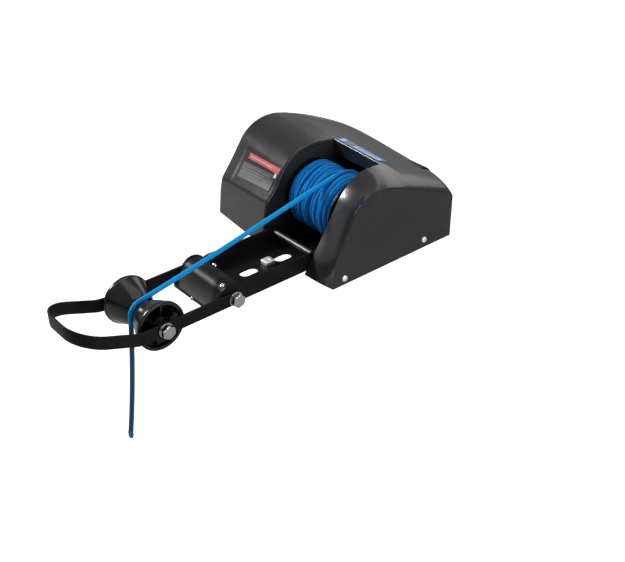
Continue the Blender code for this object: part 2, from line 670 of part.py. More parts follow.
def contactor():
    """Reversing contactor on the base plate inside the port pod."""
    body = box("reversing_contactor", (55.0, 52.0, BASE_TOP), (83.0, 92.0, 42.0),
               BLACK_PLASTIC, bevel=2.0)
    for y in (62.0, 82.0):
        cut(body, rod_z("stud", 40.0, 50.0, 3.0, 69.0, y, sides=12), "UNION")


# ---------------------------------------------------------------- drum

def drum():
    """Tube between two flanges, keyed to the drum shaft, with the rope on it."""
    low, high = DRUM_MID - FLANGE_IN, DRUM_MID + FLANGE_IN
    washer_x("drum_core", low + GAP, high - GAP, SHAFT_R + GAP, DRUM_CORE_R, 0.0, DRUM_Z,
             BLACK_STEEL)
    for x0, x1, label in ((high, high + FLANGE_T, "port"), (low - FLANGE_T, low, "starboard")):
        washer_x("drum_flange_" + label, x0, x1, SHAFT_R + GAP, FLANGE_R, 0.0, DRUM_Z,
                 BLACK_STEEL, steps=36)
    low, high = low + GAP, high - GAP
    bore = DRUM_CORE_R + GAP
    profile = [(PACK_R - 3.0, high), (PACK_R - 0.6, high - 3.5), (PACK_R, high - 15.0),
               (PACK_R, low + 15.0), (PACK_R - 0.6, low + 3.5), (PACK_R - 3.0, low),
               (bore, low), (bore, high)]
    turned("rope_pack", profile, 0.0, DRUM_Z, ROPE_BLUE, steps=32)


# ---------------------------------------------------------------- arm

def arm_path():
    """Centre line of the bent bar: aft port end, round the nose, aft starboard end."""
    half = STRAP_IN + STRAP_T / 2
    corner_y = BAIL_NOSE_Y + BAIL_R
    side = [(half, y) for y in (PIVOT_Y + 9.0, -230.0, -262.0, -288.0, BAIL_RISE_Y + 8.0,
                                BAIL_RISE_Y, BAIL_RISE_Y - 8.0, BAIL_RISE_Y - 20.0)]
    bend = [(half - BAIL_R + BAIL_R * math.cos(a), corner_y - BAIL_R * math.sin(a))
            for a in [math.pi / 2 * i / 10 for i in range(11)]]
    port = side + bend
    return port + [(-x, y) for x, y in reversed(port)]


def arm_height(y):
    """Rise of the bar's middle at y: level back to the pivot, ramped forward."""
    soft = 8.0
    run = BAIL_RISE_Y + soft - y
    if run <= 0.0:
        return PIVOT_Z
    if run >= 2 * soft:
        return PIVOT_Z + (run - soft) * math.tan(BAIL_RISE)
    return PIVOT_Z + run * run / (4 * soft) * math.tan(BAIL_RISE)


def arm_strap():
    """One flat bar on edge, bent round the nose, with two bolt holes a side."""
    path = arm_path()
    shape = bmesh.new()
    rings = []
    for i, (x, y) in enumerate(path):
        xa, ya = path[max(i - 1, 0)]
        xb, yb = path[min(i + 1, len(path) - 1)]
        size = math.hypot(xb - xa, yb - ya)
        across = ((yb - ya) / size, -(xb - xa) / size)
        z = arm_height(y)
        ring = []
        for side, rise in ((-1, -1), (1, -1), (1, 1), (-1, 1)):
            ring.append(shape.verts.new(((x + across[0] * side * STRAP_T / 2) * MM,
                                         (y + across[1] * side * STRAP_T / 2) * MM,
                                         (z + rise * STRAP_H / 2) * MM)))
        rings.append(ring)
    for near, far in zip(rings, rings[1:]):
        for i in range(4):
            j = (i + 1) % 4
            shape.faces.new((near[i], near[j], far[j], far[i]))
    shape.faces.new(rings[0])
    shape.faces.new(rings[-1])
    bmesh.ops.recalc_face_normals(shape, faces=shape.faces)
    mesh = bpy.data.meshes.new("arm_strap")
    shape.to_mesh(mesh)
    shape.free()
    strap = new_object("arm_strap", mesh, BLACK_STEEL)
    for side in (-1, 1):
        for y in (PIVOT_Y, AXLE_Y):
            cut(strap, rod_x("strap_hole", side * 40.0, side * 54.0, AXLE_R + GAP, y, PIVOT_Z,
                             sides=20))
    return strap


def roller():
    """Two flared halves that make one V groove, each hollow on its outer face."""
    bore = AXLE_R + GAP
    flare = []
    for i in range(6):
        u = i / 5
        x = 0.15 + 3.0 + (ROLLER_HALF - 8.0) * u
        r = ROLLER_GROOVE_R + (ROLLER_RIM_R - 1.0 - ROLLER_GROOVE_R) * u ** 0.62
        flare.append((r, x))
    port = [(bore, ROLLER_HALF - 2.0), (10.5, ROLLER_HALF - 2.0), (10.5, 20.0), (13.0, 18.0),
            (26.5, ROLLER_HALF - 7.0), (27.0, ROLLER_HALF), (ROLLER_RIM_R - 0.8, ROLLER_HALF),
            (ROLLER_RIM_R, ROLLER_HALF - 1.0), (ROLLER_RIM_R, ROLLER_HALF - 4.5)]
    port += list(reversed(flare))
    port += [(ROLLER_GROOVE_R, 0.15), (bore, 0.15)]
    turned("roller_half_port", port, AXLE_Y, PIVOT_Z, ROLLER_PLASTIC, steps=28)
    starboard = [(r, -x) for r, x in reversed(port)]
    turned("roller_half_starboard", starboard, AXLE_Y, PIVOT_Z, ROLLER_PLASTIC, steps=28)


def axle_set():
    """Axle bolt with its washers, nut and the spacers beside the roller."""
    bolt_set("axle", AXLE_Y, STRAP_IN + STRAP_T)
    for side, label in ((1, "port"), (-1, "starboard")):
        x0, x1 = ROLLER_HALF - 2.0 + 1.0, STRAP_IN - GAP
        lo, hi = (x0, x1) if side > 0 else (-x1, -x0)
        washer_x("axle_spacer_" + label, lo, hi, AXLE_R + GAP, 9.0, AXLE_Y, PIVOT_Z, STAINLESS)


# ---------------------------------------------------------------- rope

ROPE_LINE = ROLLER_GROOVE_R + ROPE_R + GAP    # rope centre above the axle
ROPE_START_X = 15.0
ROPE_END_Z = -146.0
ROPE_LEAD = 21.0                              # the free end hangs this far forward


def rope_route():
    """Centre line: off the top of the drum, over the roller, straight down."""
    reach = PACK_R + ROPE_R + GAP
    span = -AXLE_Y
    drop = DRUM_Z - PIVOT_Z
    slope = math.atan2(drop, span) + math.asin((reach - ROPE_LINE) / math.hypot(span, drop))
    start = (ROPE_START_X, -reach * math.sin(slope), DRUM_Z + reach * math.cos(slope))
    land = (0.0, AXLE_Y - ROPE_LINE * math.sin(slope), PIVOT_Z + ROPE_LINE * math.cos(slope))
    count = 16
    points = []
    for i in range(count):
        u = i / count
        sag = 2.5 * math.sin(math.pi * u)
        points.append((start[0] + (land[0] - start[0]) * u, start[1] + (land[1] - start[1]) * u,
                       start[2] + (land[2] - start[2]) * u - sag * u))
    for i in range(7):
        angle = slope + (math.pi / 2 - slope) * i / 6
        points.append((0.0, AXLE_Y - ROPE_LINE * math.sin(angle),
                       PIVOT_Z + ROPE_LINE * math.cos(angle)))
    fall = 10
    for i in range(1, fall + 1):
        u = i / fall
        points.append((0.0, AXLE_Y - ROPE_LINE - ROPE_LEAD * u * (0.6 + 0.4 * u),
                       PIVOT_Z + (ROPE_END_Z - PIVOT_Z) * u))
    return points


def tube(name, points, radius, look):
    curve = bpy.data.curves.new(name, "CURVE")
    curve.dimensions = "3D"
    curve.bevel_depth = radius * MM
    curve.bevel_resolution = 2
    curve.use_fill_caps = True
    spline = curve.splines.new("POLY")
    spline.points.add(len(points) - 1)
    for point, place in zip(spline.points, points):
        point.co = (*[v * MM for v in place], 1.0)
    return new_object(name, curve, look)


def rope():
    """Free stretch of rope, and the heat-sealed sleeve on its end."""
    tube("rope_run", rope_route(), ROPE_R, ROPE_BLUE)
    rod_z("rope_end_sleeve", ROPE_END_Z - 8.0, ROPE_END_Z - 2 * GAP, ROPE_R + 0.2, 0.0,
          AXLE_Y - ROPE_LINE - ROPE_LEAD, ROPE_BLUE, sides=16)


base_plate()
chassis_channel()
channel_bolt()
saddle_block()
saddle_screws()
cross_rod()
pivot_set()
drum_frames()
housing_cover()
cover_screws()
cable_inlet()
drive_train()
gearbox()
motor()
contactor()
drum()
arm_strap()
roller()
axle_set()
rope()
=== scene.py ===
"""Looks of an electric drum anchor windlass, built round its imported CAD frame.

Lengths in the shape functions are millimetres; surface() turns them into metres.
+X is port, -Y is forward over the bow and +Z is up from the deck.
"""

import json
import math

import bmesh
import bpy
import numpy as np
from mathutils import Matrix, Vector


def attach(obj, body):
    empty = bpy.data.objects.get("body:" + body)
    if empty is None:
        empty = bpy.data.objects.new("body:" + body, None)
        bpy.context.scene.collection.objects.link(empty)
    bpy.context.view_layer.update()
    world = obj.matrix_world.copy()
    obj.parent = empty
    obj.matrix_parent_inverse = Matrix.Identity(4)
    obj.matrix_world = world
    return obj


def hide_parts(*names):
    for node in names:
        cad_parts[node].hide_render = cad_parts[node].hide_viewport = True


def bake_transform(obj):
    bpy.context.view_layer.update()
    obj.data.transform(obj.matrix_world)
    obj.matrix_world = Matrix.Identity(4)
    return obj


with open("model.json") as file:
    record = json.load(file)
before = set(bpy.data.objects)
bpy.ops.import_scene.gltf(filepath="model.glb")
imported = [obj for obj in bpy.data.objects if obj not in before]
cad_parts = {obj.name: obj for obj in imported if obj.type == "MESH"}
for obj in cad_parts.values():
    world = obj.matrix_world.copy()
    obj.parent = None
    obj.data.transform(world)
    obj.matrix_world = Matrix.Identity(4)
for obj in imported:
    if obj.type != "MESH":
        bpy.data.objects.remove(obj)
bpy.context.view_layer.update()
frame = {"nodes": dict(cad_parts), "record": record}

MM = 0.001

# ---------------------------------------------------------------- sizes, as in the part

GAP = 0.3                                   # between solids that touch
DRUM_Z, DRUM_MID = 56.0, -1.5               # the drum's axis and its middle
DRUM_CORE_R, PACK_R, FLANGE_IN = 16.0, 42.0, 41.2
PIVOT_Y, PIVOT_Z, AXLE_Y, AXLE_R = -193.0, 13.0, -290.5, 5.0
STRAP_IN, STRAP_T, STRAP_H, STRAP_END_R = 44.3, 3.0, 17.0, 8.9
BAIL_RISE_Y, BAIL_NOSE_Y, BAIL_R, BAIL_RISE = -322.0, -396.0, 34.0, math.radians(20.5)
ROLLER_HALF, ROLLER_RIM_R, ROLLER_GROOVE_R = 39.0, 31.0, 14.0
WASHER_R, WASHER_T, BOLT_HEAD_T = 9.4, 1.6, 6.6
ROPE_R = 3.0
ROPE_LINE = ROLLER_GROOVE_R + ROPE_R + GAP  # radius of the rope's centre line on the roller
ROPE_START_X, ROPE_END_Z, ROPE_LEAD = 15.0, -146.0, 21.0
WINDOW_PORT, WINDOW_STBD, WINDOW_R = 43.0, -45.5, 56.0
COVER_PORT, COVER_STBD, COVER_FLOOR = 94.5, -164.5, 0.4


# ---------------------------------------------------------------- mesh helpers

def surface(name, points, wrap_u=False, wrap_v=False, uv=None, closed=True, behind=None,
            sharp=32.0):
    """Mesh over a grid of points in mm: one quad a cell, rows along v and columns along u.

    uv holds the u and v of the grid lines, one more than the cells where it wraps.
    """
    points = np.asarray(points, float)
    rows, cols = points.shape[:2]
    index = np.arange(rows * cols).reshape(rows, cols)
    r = np.arange(rows if wrap_v else rows - 1)[:, None]
    c = np.arange(cols if wrap_u else cols - 1)[None, :]
    r2, c2 = (r + 1) % rows, (c + 1) % cols
    faces = np.stack([index[r, c], index[r, c2], index[r2, c2], index[r2, c]], -1).reshape(-1, 4)
    mesh = bpy.data.meshes.new(name)
    mesh.from_pydata((points.reshape(-1, 3) * MM).tolist(), [], faces.tolist())
    if uv is not None:
        u, v = np.asarray(uv[0], float), np.asarray(uv[1], float)
        rr, cc = np.broadcast_arrays(r, c)
        corner_u = np.stack([u[cc], u[cc + 1], u[cc + 1], u[cc]], -1)
        corner_v = np.stack([v[rr], v[rr], v[rr + 1], v[rr + 1]], -1)
        layer = mesh.uv_layers.new(name="UVMap")
        layer.data.foreach_set("uv", np.stack([corner_u, corner_v], -1).ravel())
    return settle(name, mesh, closed, behind, sharp)


def settle(name, mesh, closed=True, behind=None, sharp=32.0):
    """Merge doubles, turn the faces, shade smooth with sharp creases kept.

    A closed mesh has its faces turned outwards. Given a point behind it, a mesh is turned
    over if its faces look that way.
    """
    shape = bmesh.new()
    shape.from_mesh(mesh)
    bmesh.ops.remove_doubles(shape, verts=shape.verts, dist=2e-6)
    bmesh.ops.dissolve_degenerate(shape, edges=shape.edges, dist=1e-6)
    if closed:
        bmesh.ops.recalc_face_normals(shape, faces=shape.faces)
    if behind is not None:
        away = sum((f.calc_center_median() - behind).dot(f.normal) * f.calc_area()
                   for f in shape.faces)
        if away < 0.0:
            bmesh.ops.reverse_faces(shape, faces=shape.faces)
    shape.to_mesh(mesh)
    shape.free()
    mesh.polygons.foreach_set("use_smooth", np.ones(len(mesh.polygons), bool))
    mesh.set_sharp_from_angle(angle=math.radians(sharp))
    obj = bpy.data.objects.new(name, mesh)
    bpy.context.scene.collection.objects.link(obj)
    return obj


def piece(obj, look, body, slot, *nodes):
    """Give a piece its material, its body and the nodes it replaces; the slot argument is not used.
    """
    obj.data.materials.clear()
    obj.data.materials.append(look)
    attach(obj, body)
    nodes = [name for name in nodes if name]
    if nodes:
        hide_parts(*nodes)
    return obj


def turns_of(steps):
    """Angles of one full turn in equal steps."""
    return np.linspace(0.0, 2 * math.pi, steps, endpoint=False)


def about_x(along, radius, turn, y, z):
    """Points at a place along X, a radius and a turn about the axis through (y, z)."""
    along, radius, turn = np.broadcast_arrays(along, radius, turn)
    return np.stack([along, y + radius * np.cos(turn), z + radius * np.sin(turn)], -1)


def capped(points):
    """Rows of rings with one more row at the middle of the first and of the last."""
    ends = [np.broadcast_to(points[i].mean(0), (1, *points.shape[1:])) for i in (0, -1)]
    return np.concatenate([ends[0], points, ends[1]])


def spread_in(value, low, high):
    """Smooth step from 0 at low to 1 at high."""
    t = np.clip((value - low) / (high - low), 0.0, 1.0)
    return t * t * (3 - 2 * t)


def revolve(name, profile, y, z, steps=96, rounding=0.5):
    """A closed profile of (radius, x) pairs swept once round an axis along X through (y, z)."""
    line = rounded_loop(np.array(profile, float), rounding)
    points = about_x(line[:, 1:], line[:, :1], turns_of(steps)[None, :], y, z)
    return surface(name, points, wrap_u=True, wrap_v=True)


def rounded_loop(line, reach, bend=4):
    """A closed outline with each corner replaced by a parabola arc that starts reach away."""
    before, after = np.roll(line, 1, axis=0), np.roll(line, -1, axis=0)
    back, ahead = before - line, after - line
    lb, la = np.linalg.norm(back, axis=1), np.linalg.norm(ahead, axis=1)
    cut = np.minimum(reach, 0.45 * np.minimum(lb, la))[:, None, None]
    t = np.linspace(0.0, 1.0, bend)[None, :, None]
    arcs = (line[:, None] + (1 - t) ** 2 * cut * (back / lb[:, None])[:, None]
            + t ** 2 * cut * (ahead / la[:, None])[:, None])
    return arcs.reshape(-1, 2)


FLAT, BEND = 4, 9       # points on each straight part and on each corner of an outline


def rounded(points, reach):
    """Outlines (..., n, 2) with rounded corners; each corner starts reach[i] away.

    Every corner gives BEND points on a parabola and every straight part FLAT points, so
    outlines with the same number of corners match point by point.
    """
    p = np.asarray(points, float)
    step = np.diff(p, axis=-2)
    size = np.linalg.norm(step, axis=-1, keepdims=True)
    way = step / size
    cut = np.minimum(np.asarray(reach, float)[:, None],
                     0.46 * np.minimum(size[..., :-1, :], size[..., 1:, :]))[..., None, :]
    t = np.linspace(0.0, 1.0, BEND)[:, None]
    corner = (p[..., 1:-1, None, :] - (1 - t) ** 2 * cut * way[..., :-1, None, :]
              + t ** 2 * cut * way[..., 1:, None, :])
    first = np.concatenate([p[..., :1, :], corner[..., -1, :]], axis=-2)
    last = np.concatenate([corner[..., 0, :], p[..., -1:, :]], axis=-2)
    s = np.linspace(0.0, 1.0, FLAT + 2)[1:-1, None]
    straight = first[..., None, :] * (1 - s) + last[..., None, :] * s
    blocks = np.concatenate([straight[..., :-1, :, :], corner], axis=-2)
    body = blocks.reshape(*p.shape[:-2], -1, 2)
    return np.concatenate([p[..., :1, :], body, straight[..., -1, :, :], p[..., -1:, :]], axis=-2)


def outward(outline):
    """Unit normals of front-to-back outlines (..., n, 2), pointing away from the inside."""
    way = np.gradient(outline, axis=-2)
    normal = np.stack([-way[..., 1], way[..., 0]], -1)
    return normal / np.maximum(np.linalg.norm(normal, axis=-1, keepdims=True), 1e-9)


def tube(name, line, reference, radius, sides):
    """A round tube along a line of points in mm, its ring turned by a reference direction.

    The ring is radius times (cosine of a turn times side plus sine times up), where side
    is the reference made square to the line. Its ends close on a point, slightly domed.
    """
    line = np.asarray(line, float)
    radius = np.broadcast_to(np.asarray(radius, float), (len(line),))
    way = np.gradient(line, axis=0)
    way /= np.linalg.norm(way, axis=1, keepdims=True)
    reference = np.asarray(reference, float)
    side = reference - np.sum(reference * way, axis=1, keepdims=True) * way
    side /= np.linalg.norm(side, axis=1, keepdims=True)
    up = np.cross(way, side)
    turn = turns_of(sides)
    ring = (np.cos(turn)[None, :, None] * side[:, None] + np.sin(turn)[None, :, None] * up[:, None])
    bulge, out = np.array([(1.0, 0.93, 0.7), (0.0, 0.35, 0.62)])[..., None, None]
    head = line[0] + bulge[::-1] * radius[0] * ring[0] - out[::-1] * radius[0] * way[0]
    tail = line[-1] + bulge * radius[-1] * ring[-1] + out * radius[-1] * way[-1]
    points = capped(np.concatenate([head[:-1], line[:, None] + radius[:, None, None] * ring,
                                    tail[1:]]))
    middle = points.mean(1)
    run = np.concatenate([[0.0], np.cumsum(np.linalg.norm(np.diff(middle, axis=0), axis=1))])
    uv = (np.linspace(0.0, 1.0, sides + 1), run / (2 * ROPE_R))
    return surface(name, points, wrap_u=True, uv=uv, sharp=60.0)


# ---------------------------------------------------------------- node groups

FLOAT, COLOUR, VECTOR = "NodeSocketFloat", "NodeSocketColor", "NodeSocketVector"


def node_group(name, inputs, outputs):
    """A group whose inputs are label: start value, the kind of socket told by the value."""
    tree = bpy.data.node_groups.new(name, "ShaderNodeTree")
    for label, value in inputs.items():
        kind = FLOAT if isinstance(value, float) else COLOUR if len(value) == 4 else VECTOR
        socket = tree.interface.new_socket(label, in_out="INPUT", socket_type=kind)
        socket.default_value = value
    for label in outputs:
        kind = COLOUR if label == "Color" else FLOAT
        tree.interface.new_socket(label, in_out="OUTPUT", socket_type=kind)
    return tree, tree.nodes.new("NodeGroupInput").outputs, tree.nodes.new("NodeGroupOutput").inputs


def feed(tree, socket, value):
    """Set a socket to a number, or link it to another socket."""
    if isinstance(value, (int, float)):
        socket.default_value = value
    else:
        tree.links.new(value, socket)


def node(tree, kind, links=(), **settings):
    """A node in tree with its settings, and links given as (output, input name) pairs."""
    made = tree.nodes.new(kind)
    for key, value in settings.items():
        setattr(made, key, value)
    for source, target in links:
        tree.links.new(source, made.inputs[target])
    return made


def maths(tree, operation, *values):
    """Result of a Math node on numbers or sockets."""
    made = node(tree, "ShaderNodeMath", operation=operation)
    for socket, value in zip(made.inputs, values):
        feed(tree, socket, value)
    return made.outputs[0]


def noise(tree, vector, scale, detail, roughness=0.55):
    """Value of a noise texture."""
    made = node(tree, "ShaderNodeTexNoise", [(vector, "Vector")])
    for label, value in (("Detail", detail), ("Roughness", roughness), ("Scale", scale)):
        feed(tree, made.inputs[label], value)
    return made.outputs["Fac"]


def spread(tree, value, low, high, to_low=0.0, to_high=1.0):
    """Value mapped from low..high to to_low..to_high, held at the ends."""
    made = tree.nodes.new("ShaderNodeMapRange")
    for label, v in (("Value", value), ("From Min", low), ("From Max", high),
                     ("To Min", to_low), ("To Max", to_high)):
        feed(tree, made.inputs[label], v)
    return made.outputs["Result"]


def blend_colour(tree, amount, a, b):
    """Colour a turning into colour b as amount goes from 0 to 1."""
    made = node(tree, "ShaderNodeMix", [(amount, "Factor")], data_type="RGBA")
    colours = [socket for socket in made.inputs if socket.type == "RGBA"]
    for socket, value in zip(colours, (a, b)):
        if isinstance(value, tuple):
            socket.default_value = (*value, 1.0)
        else:
            tree.links.new(value, socket)
    return next(socket for socket in made.outputs if socket.type == "RGBA")


def mottle_group():
    """Slow colour drift, faint dust in patches, and a roughness that drifts with it."""
    tree, src, out = node_group(
        "mottle",
        {"Vector": (0.0, 0.0, 0.0), "Base": (0.02, 0.02, 0.02, 1), "Drift": (0.03, 0.03, 0.03, 1),
         "Dust": (0.12, 0.12, 0.12, 1), "Scale": 18.0, "Dust amount": 0.15, "Smooth": 0.35,
         "Rough": 0.5}, ("Color", "Roughness"))
    slow = noise(tree, src["Vector"], src["Scale"], 4.0)
    fine = noise(tree, src["Vector"], maths(tree, "MULTIPLY", src["Scale"], 11.0), 5.0, 0.65)
    colour = blend_colour(tree, spread(tree, slow, 0.35, 0.65), src["Base"], src["Drift"])
    dust = maths(tree, "MULTIPLY", spread(tree, fine, 0.52, 0.78), src["Dust amount"])
    colour = blend_colour(tree, dust, colour, src["Dust"])
    both = maths(tree, "ADD", maths(tree, "MULTIPLY", slow, 0.6),
                 maths(tree, "MULTIPLY", fine, 0.4))
    rough = spread(tree, both, 0.35, 0.65, src["Smooth"], src["Rough"])
    tree.links.new(colour, out["Color"])
    tree.links.new(rough, out["Roughness"])
    return tree


def grain_group():
    """Moulded or powder-coat grain: round cells with fine noise over them, as a height."""
    tree, src, out = node_group(
        "grain", {"Vector": (0.0, 0.0, 0.0), "Scale": 900.0, "Cells": 0.5}, ("Height",))
    cells = node(tree, "ShaderNodeTexVoronoi", [(src["Vector"], "Vector"), (src["Scale"], "Scale")],
                 feature="SMOOTH_F1")
    fine = noise(tree, src["Vector"], src["Scale"], 4.0, 0.6)
    slow = noise(tree, src["Vector"], maths(tree, "MULTIPLY", src["Scale"], 0.06), 2.0, 0.5)
    height = maths(tree, "MULTIPLY_ADD", cells.outputs["Distance"], src["Cells"], fine)
    tree.links.new(maths(tree, "MULTIPLY_ADD", slow, 0.8, height), out["Height"])
    return tree


def brushed_group():
    """Machining marks: noise drawn out along two directions, as a height and a streak."""
    tree, src, out = node_group(
        "brushed", {"Vector": (0.0, 0.0, 0.0), "Scale": 60.0, "Stretch": (1.0, 1.0, 14.0)},
        ("Height", "Streak"))
    drawn = node(tree, "ShaderNodeVectorMath", [(src["Vector"], 0), (src["Stretch"], 1)],
                 operation="MULTIPLY")
    fine = noise(tree, drawn.outputs[0], src["Scale"], 6.0, 0.7)
    tree.links.new(fine, out["Height"])
    tree.links.new(spread(tree, fine, 0.35, 0.7), out["Streak"])
    return tree


def braid_group():
    """Braid of a rope on its UV map: u goes once round it and v counts its diameters.

    Two families of strands wind in opposite ways. Each is a rounded ridge, and a checker
    of the two decides which of them lies on top.
    """
    tree, src, out = node_group(
        "braid",
        {"UV": (0.0, 0.0, 0.0), "Round": 6.0, "Pitch": 1.6, "Base": (0.0, 0.2, 0.6, 1),
         "Deep": (0.0, 0.05, 0.2, 1), "Pale": (0.1, 0.4, 0.9, 1), "Wear": 0.3,
         "Dull": (0.02, 0.05, 0.09, 1), "Dull from": 1e5, "Dull to": 1.1e5},
        ("Color", "Height", "Roughness"))
    parts = node(tree, "ShaderNodeSeparateXYZ", [(src["UV"], 0)]).outputs
    round_ = maths(tree, "MULTIPLY", parts["X"], src["Round"])
    along = maths(tree, "MULTIPLY", parts["Y"], src["Pitch"])
    one = maths(tree, "MULTIPLY", maths(tree, "ADD", round_, along), math.pi)
    two = maths(tree, "MULTIPLY", maths(tree, "SUBTRACT", round_, along), math.pi)
    ridge_one = maths(tree, "ABSOLUTE", maths(tree, "SINE", one))
    ridge_two = maths(tree, "ABSOLUTE", maths(tree, "SINE", two))
    crossing = maths(tree, "MULTIPLY", maths(tree, "COSINE", one), maths(tree, "COSINE", two))
    over = maths(tree, "GREATER_THAN", crossing, 0.0)
    top = maths(tree, "MULTIPLY", ridge_one, over)
    under = maths(tree, "MULTIPLY", ridge_two, maths(tree, "SUBTRACT", 1.0, over))
    ridge = maths(tree, "POWER", maths(tree, "ADD", top, under), 0.7)
    fibre = noise(tree, src["UV"], 24.0, 4.0, 0.7)
    patch = noise(tree, src["UV"], 1.3, 2.0, 0.5)
    # Painted shade: the grooves between the strands take the darker Deep colour, the ridges the
    # base colour.
    colour = blend_colour(tree, spread(tree, ridge, 0.15, 0.75), src["Deep"], src["Base"])
    worn = maths(tree, "MULTIPLY", spread(tree, maths(tree, "MULTIPLY", ridge, fibre), 0.3, 0.65),
                 maths(tree, "MULTIPLY", spread(tree, patch, 0.35, 0.65), src["Wear"]))
    colour = blend_colour(tree, worn, colour, src["Pale"])
    # Painted shade: from a given place along the rope on, its colour turns into a darker, greyer
    # blue, standing for shade on the hanging fall.
    fall_shade_colour = blend_colour(tree, spread(tree, ridge, 0.1, 0.9, 0.35, 1.0), (0.0, 0.004, 0.01),
                        src["Dull"])
    fall_shade_share = spread(tree, parts["Y"], src["Dull from"], src["Dull to"])
    colour = blend_colour(tree, maths(tree, "MULTIPLY", fall_shade_share, 0.92), colour, fall_shade_colour)
    tree.links.new(colour, out["Color"])
    tree.links.new(maths(tree, "MULTIPLY_ADD", fibre, 0.25, ridge), out["Height"])
    tree.links.new(spread(tree, ridge, 0.0, 1.0, 0.8, 0.55), out["Roughness"])
    return tree


MOTTLE, GRAIN, BRUSHED, BRAID = mottle_group(), grain_group(), brushed_group(), braid_group()


# ---------------------------------------------------------------- materials

def grey(value):
    """The same value three times."""
    return (value, value, value)


def begin_look(name, coordinates="Object"):
    """A new material with its tree, its shader and the coordinates its patterns read."""
    look = bpy.data.materials.new(name)
    look.use_nodes = True
    tree = look.node_tree
    where = tree.nodes.new("ShaderNodeTexCoord").outputs[coordinates]
    return look, tree, tree.nodes["Principled BSDF"], where


def set_values(holder, values):
    """Set a node's own sockets; an underscore in a label stands for a space."""
    for label, value in values.items():
        holder.inputs[label.replace("_", " ")].default_value = value


def place_group(tree, group, vector, **values):
    """A group put into a material, reading vector; its colours are given as triples."""
    made = node(tree, "ShaderNodeGroup", node_tree=group)
    tree.links.new(vector, made.inputs[0])
    for label, value in values.items():
        wide = made.inputs[label.replace("_", " ")]
        wide.default_value = (*value, 1) if wide.type == "RGBA" else value
    return made.outputs


def finish_look(tree, shader, colour, roughness, height=None, strength=0.0, depth=0.0, **values):
    """Feed the shader its colour, roughness and bump, and set its own sockets."""
    tree.links.new(colour, shader.inputs["Base Color"])
    tree.links.new(roughness, shader.inputs["Roughness"])
    if height is not None:
        relief = node(tree, "ShaderNodeBump", [(height, "Height")])
        set_values(relief, {"Strength": strength, "Distance": depth})
        tree.links.new(relief.outputs["Normal"], shader.inputs["Normal"])
    set_values(shader, values)


def coated(name, base, drift, dust, smooth, rough, scale=18.0, dust_amount=0.15, grain=900.0,
           cells=0.5, strength=0.25, depth=0.0002, coat=0.0, coat_rough=0.15, specular=0.5):
    """Plastic or powder coat: mottled colour over a fine moulded grain."""
    look, tree, shader, where = begin_look(name)
    skin = place_group(tree, MOTTLE, where, Base=base, Drift=drift, Dust=dust, Scale=scale,
                       Dust_amount=dust_amount, Smooth=smooth, Rough=rough)
    texture = place_group(tree, GRAIN, where, Scale=grain, Cells=cells)
    finish_look(tree, shader, skin["Color"], skin["Roughness"], texture["Height"], strength, depth,
                Coat_Weight=coat, Coat_Roughness=coat_rough, Specular_IOR_Level=specular)
    return look


def metal(name, base, streak, smooth, rough, stretch=(1.0, 14.0, 1.0), strength=0.15,
          depth=0.0001):
    """Bare metal: brushed streaks in colour and height, with faint stains."""
    look, tree, shader, where = begin_look(name)
    marks = place_group(tree, BRUSHED, where, Scale=60.0, Stretch=stretch)
    skin = place_group(tree, MOTTLE, where, Base=base, Drift=streak, Dust=(0.1, 0.09, 0.08),
                       Scale=90.0, Dust_amount=0.12, Smooth=smooth, Rough=rough)
    colour = blend_colour(tree, maths(tree, "MULTIPLY", marks["Streak"], 0.35), skin["Color"],
                          streak)
    finish_look(tree, shader, colour, skin["Roughness"], marks["Height"], strength, depth,
                Metallic=1.0)
    return look


def braided(name, base, deep, pale, fall_shade_run=(1e5, 1.1e5)):
    """Braided rope on its own UV map, with painted shade past a place along it, in diameters."""
    look, tree, shader, where = begin_look(name, "UV")
    weave = place_group(tree, BRAID, where, Base=base, Deep=deep, Pale=pale, Wear=0.3,
                        Dull=(0.02, 0.055, 0.10), Dull_from=fall_shade_run[0], Dull_to=fall_shade_run[1])
    finish_look(tree, shader, weave["Color"], weave["Roughness"], weave["Height"], 0.5, 0.0005,
                Sheen_Weight=0.05, Sheen_Roughness=0.4, Specular_IOR_Level=0.12)
    return look


HOUSING = coated("housing_black", (0.011, 0.011, 0.0115), (0.016, 0.016, 0.0165), grey(0.045),
                 0.24, 0.34, scale=14.0, dust_amount=0.12, grain=1400.0, strength=0.10,
                 depth=0.00012, coat=0.5, coat_rough=0.16, specular=0.25)
# Painted shade: a near-black copy of the housing plastic for the window's inner walls, standing for
# the deep shade inside the drum window.
HOUSING_IN_SHADE = coated("housing_inside_painted_shade", grey(0.002), grey(0.003), grey(0.03), 0.5, 0.65,
                dust_amount=0.1)
POWDER = coated("black_powder_coat", (0.004, 0.004, 0.0042), (0.008, 0.008, 0.0082), grey(0.06),
                0.30, 0.45, scale=30.0, dust_amount=0.12, grain=1800.0, cells=0.9, strength=0.22,
                depth=0.00012, specular=0.10)
NYLON = coated("black_nylon", grey(0.006), grey(0.010), grey(0.05), 0.32, 0.46, scale=26.0,
               grain=1200.0, specular=0.14)
GLOSS = coated("glossy_roller", grey(0.004), grey(0.006), grey(0.04), 0.16, 0.26, scale=22.0,
               dust_amount=0.08, grain=700.0, strength=0.06, depth=0.0001, coat=0.3,
               coat_rough=0.08, specular=0.3)
ZINC = metal("bright_zinc", (0.95, 0.95, 0.94), grey(0.86), 0.5, 0.62)
BRIGHT = metal("stainless", (0.66, 0.66, 0.65), grey(0.5), 0.14, 0.26)
TURNED = metal("machined_steel", grey(0.48), (0.36, 0.36, 0.37), 0.28, 0.42,
               stretch=(14.0, 1.0, 1.0))
BRONZE = metal("bearing_bronze", (0.5, 0.31, 0.14), (0.36, 0.21, 0.09), 0.28, 0.42)
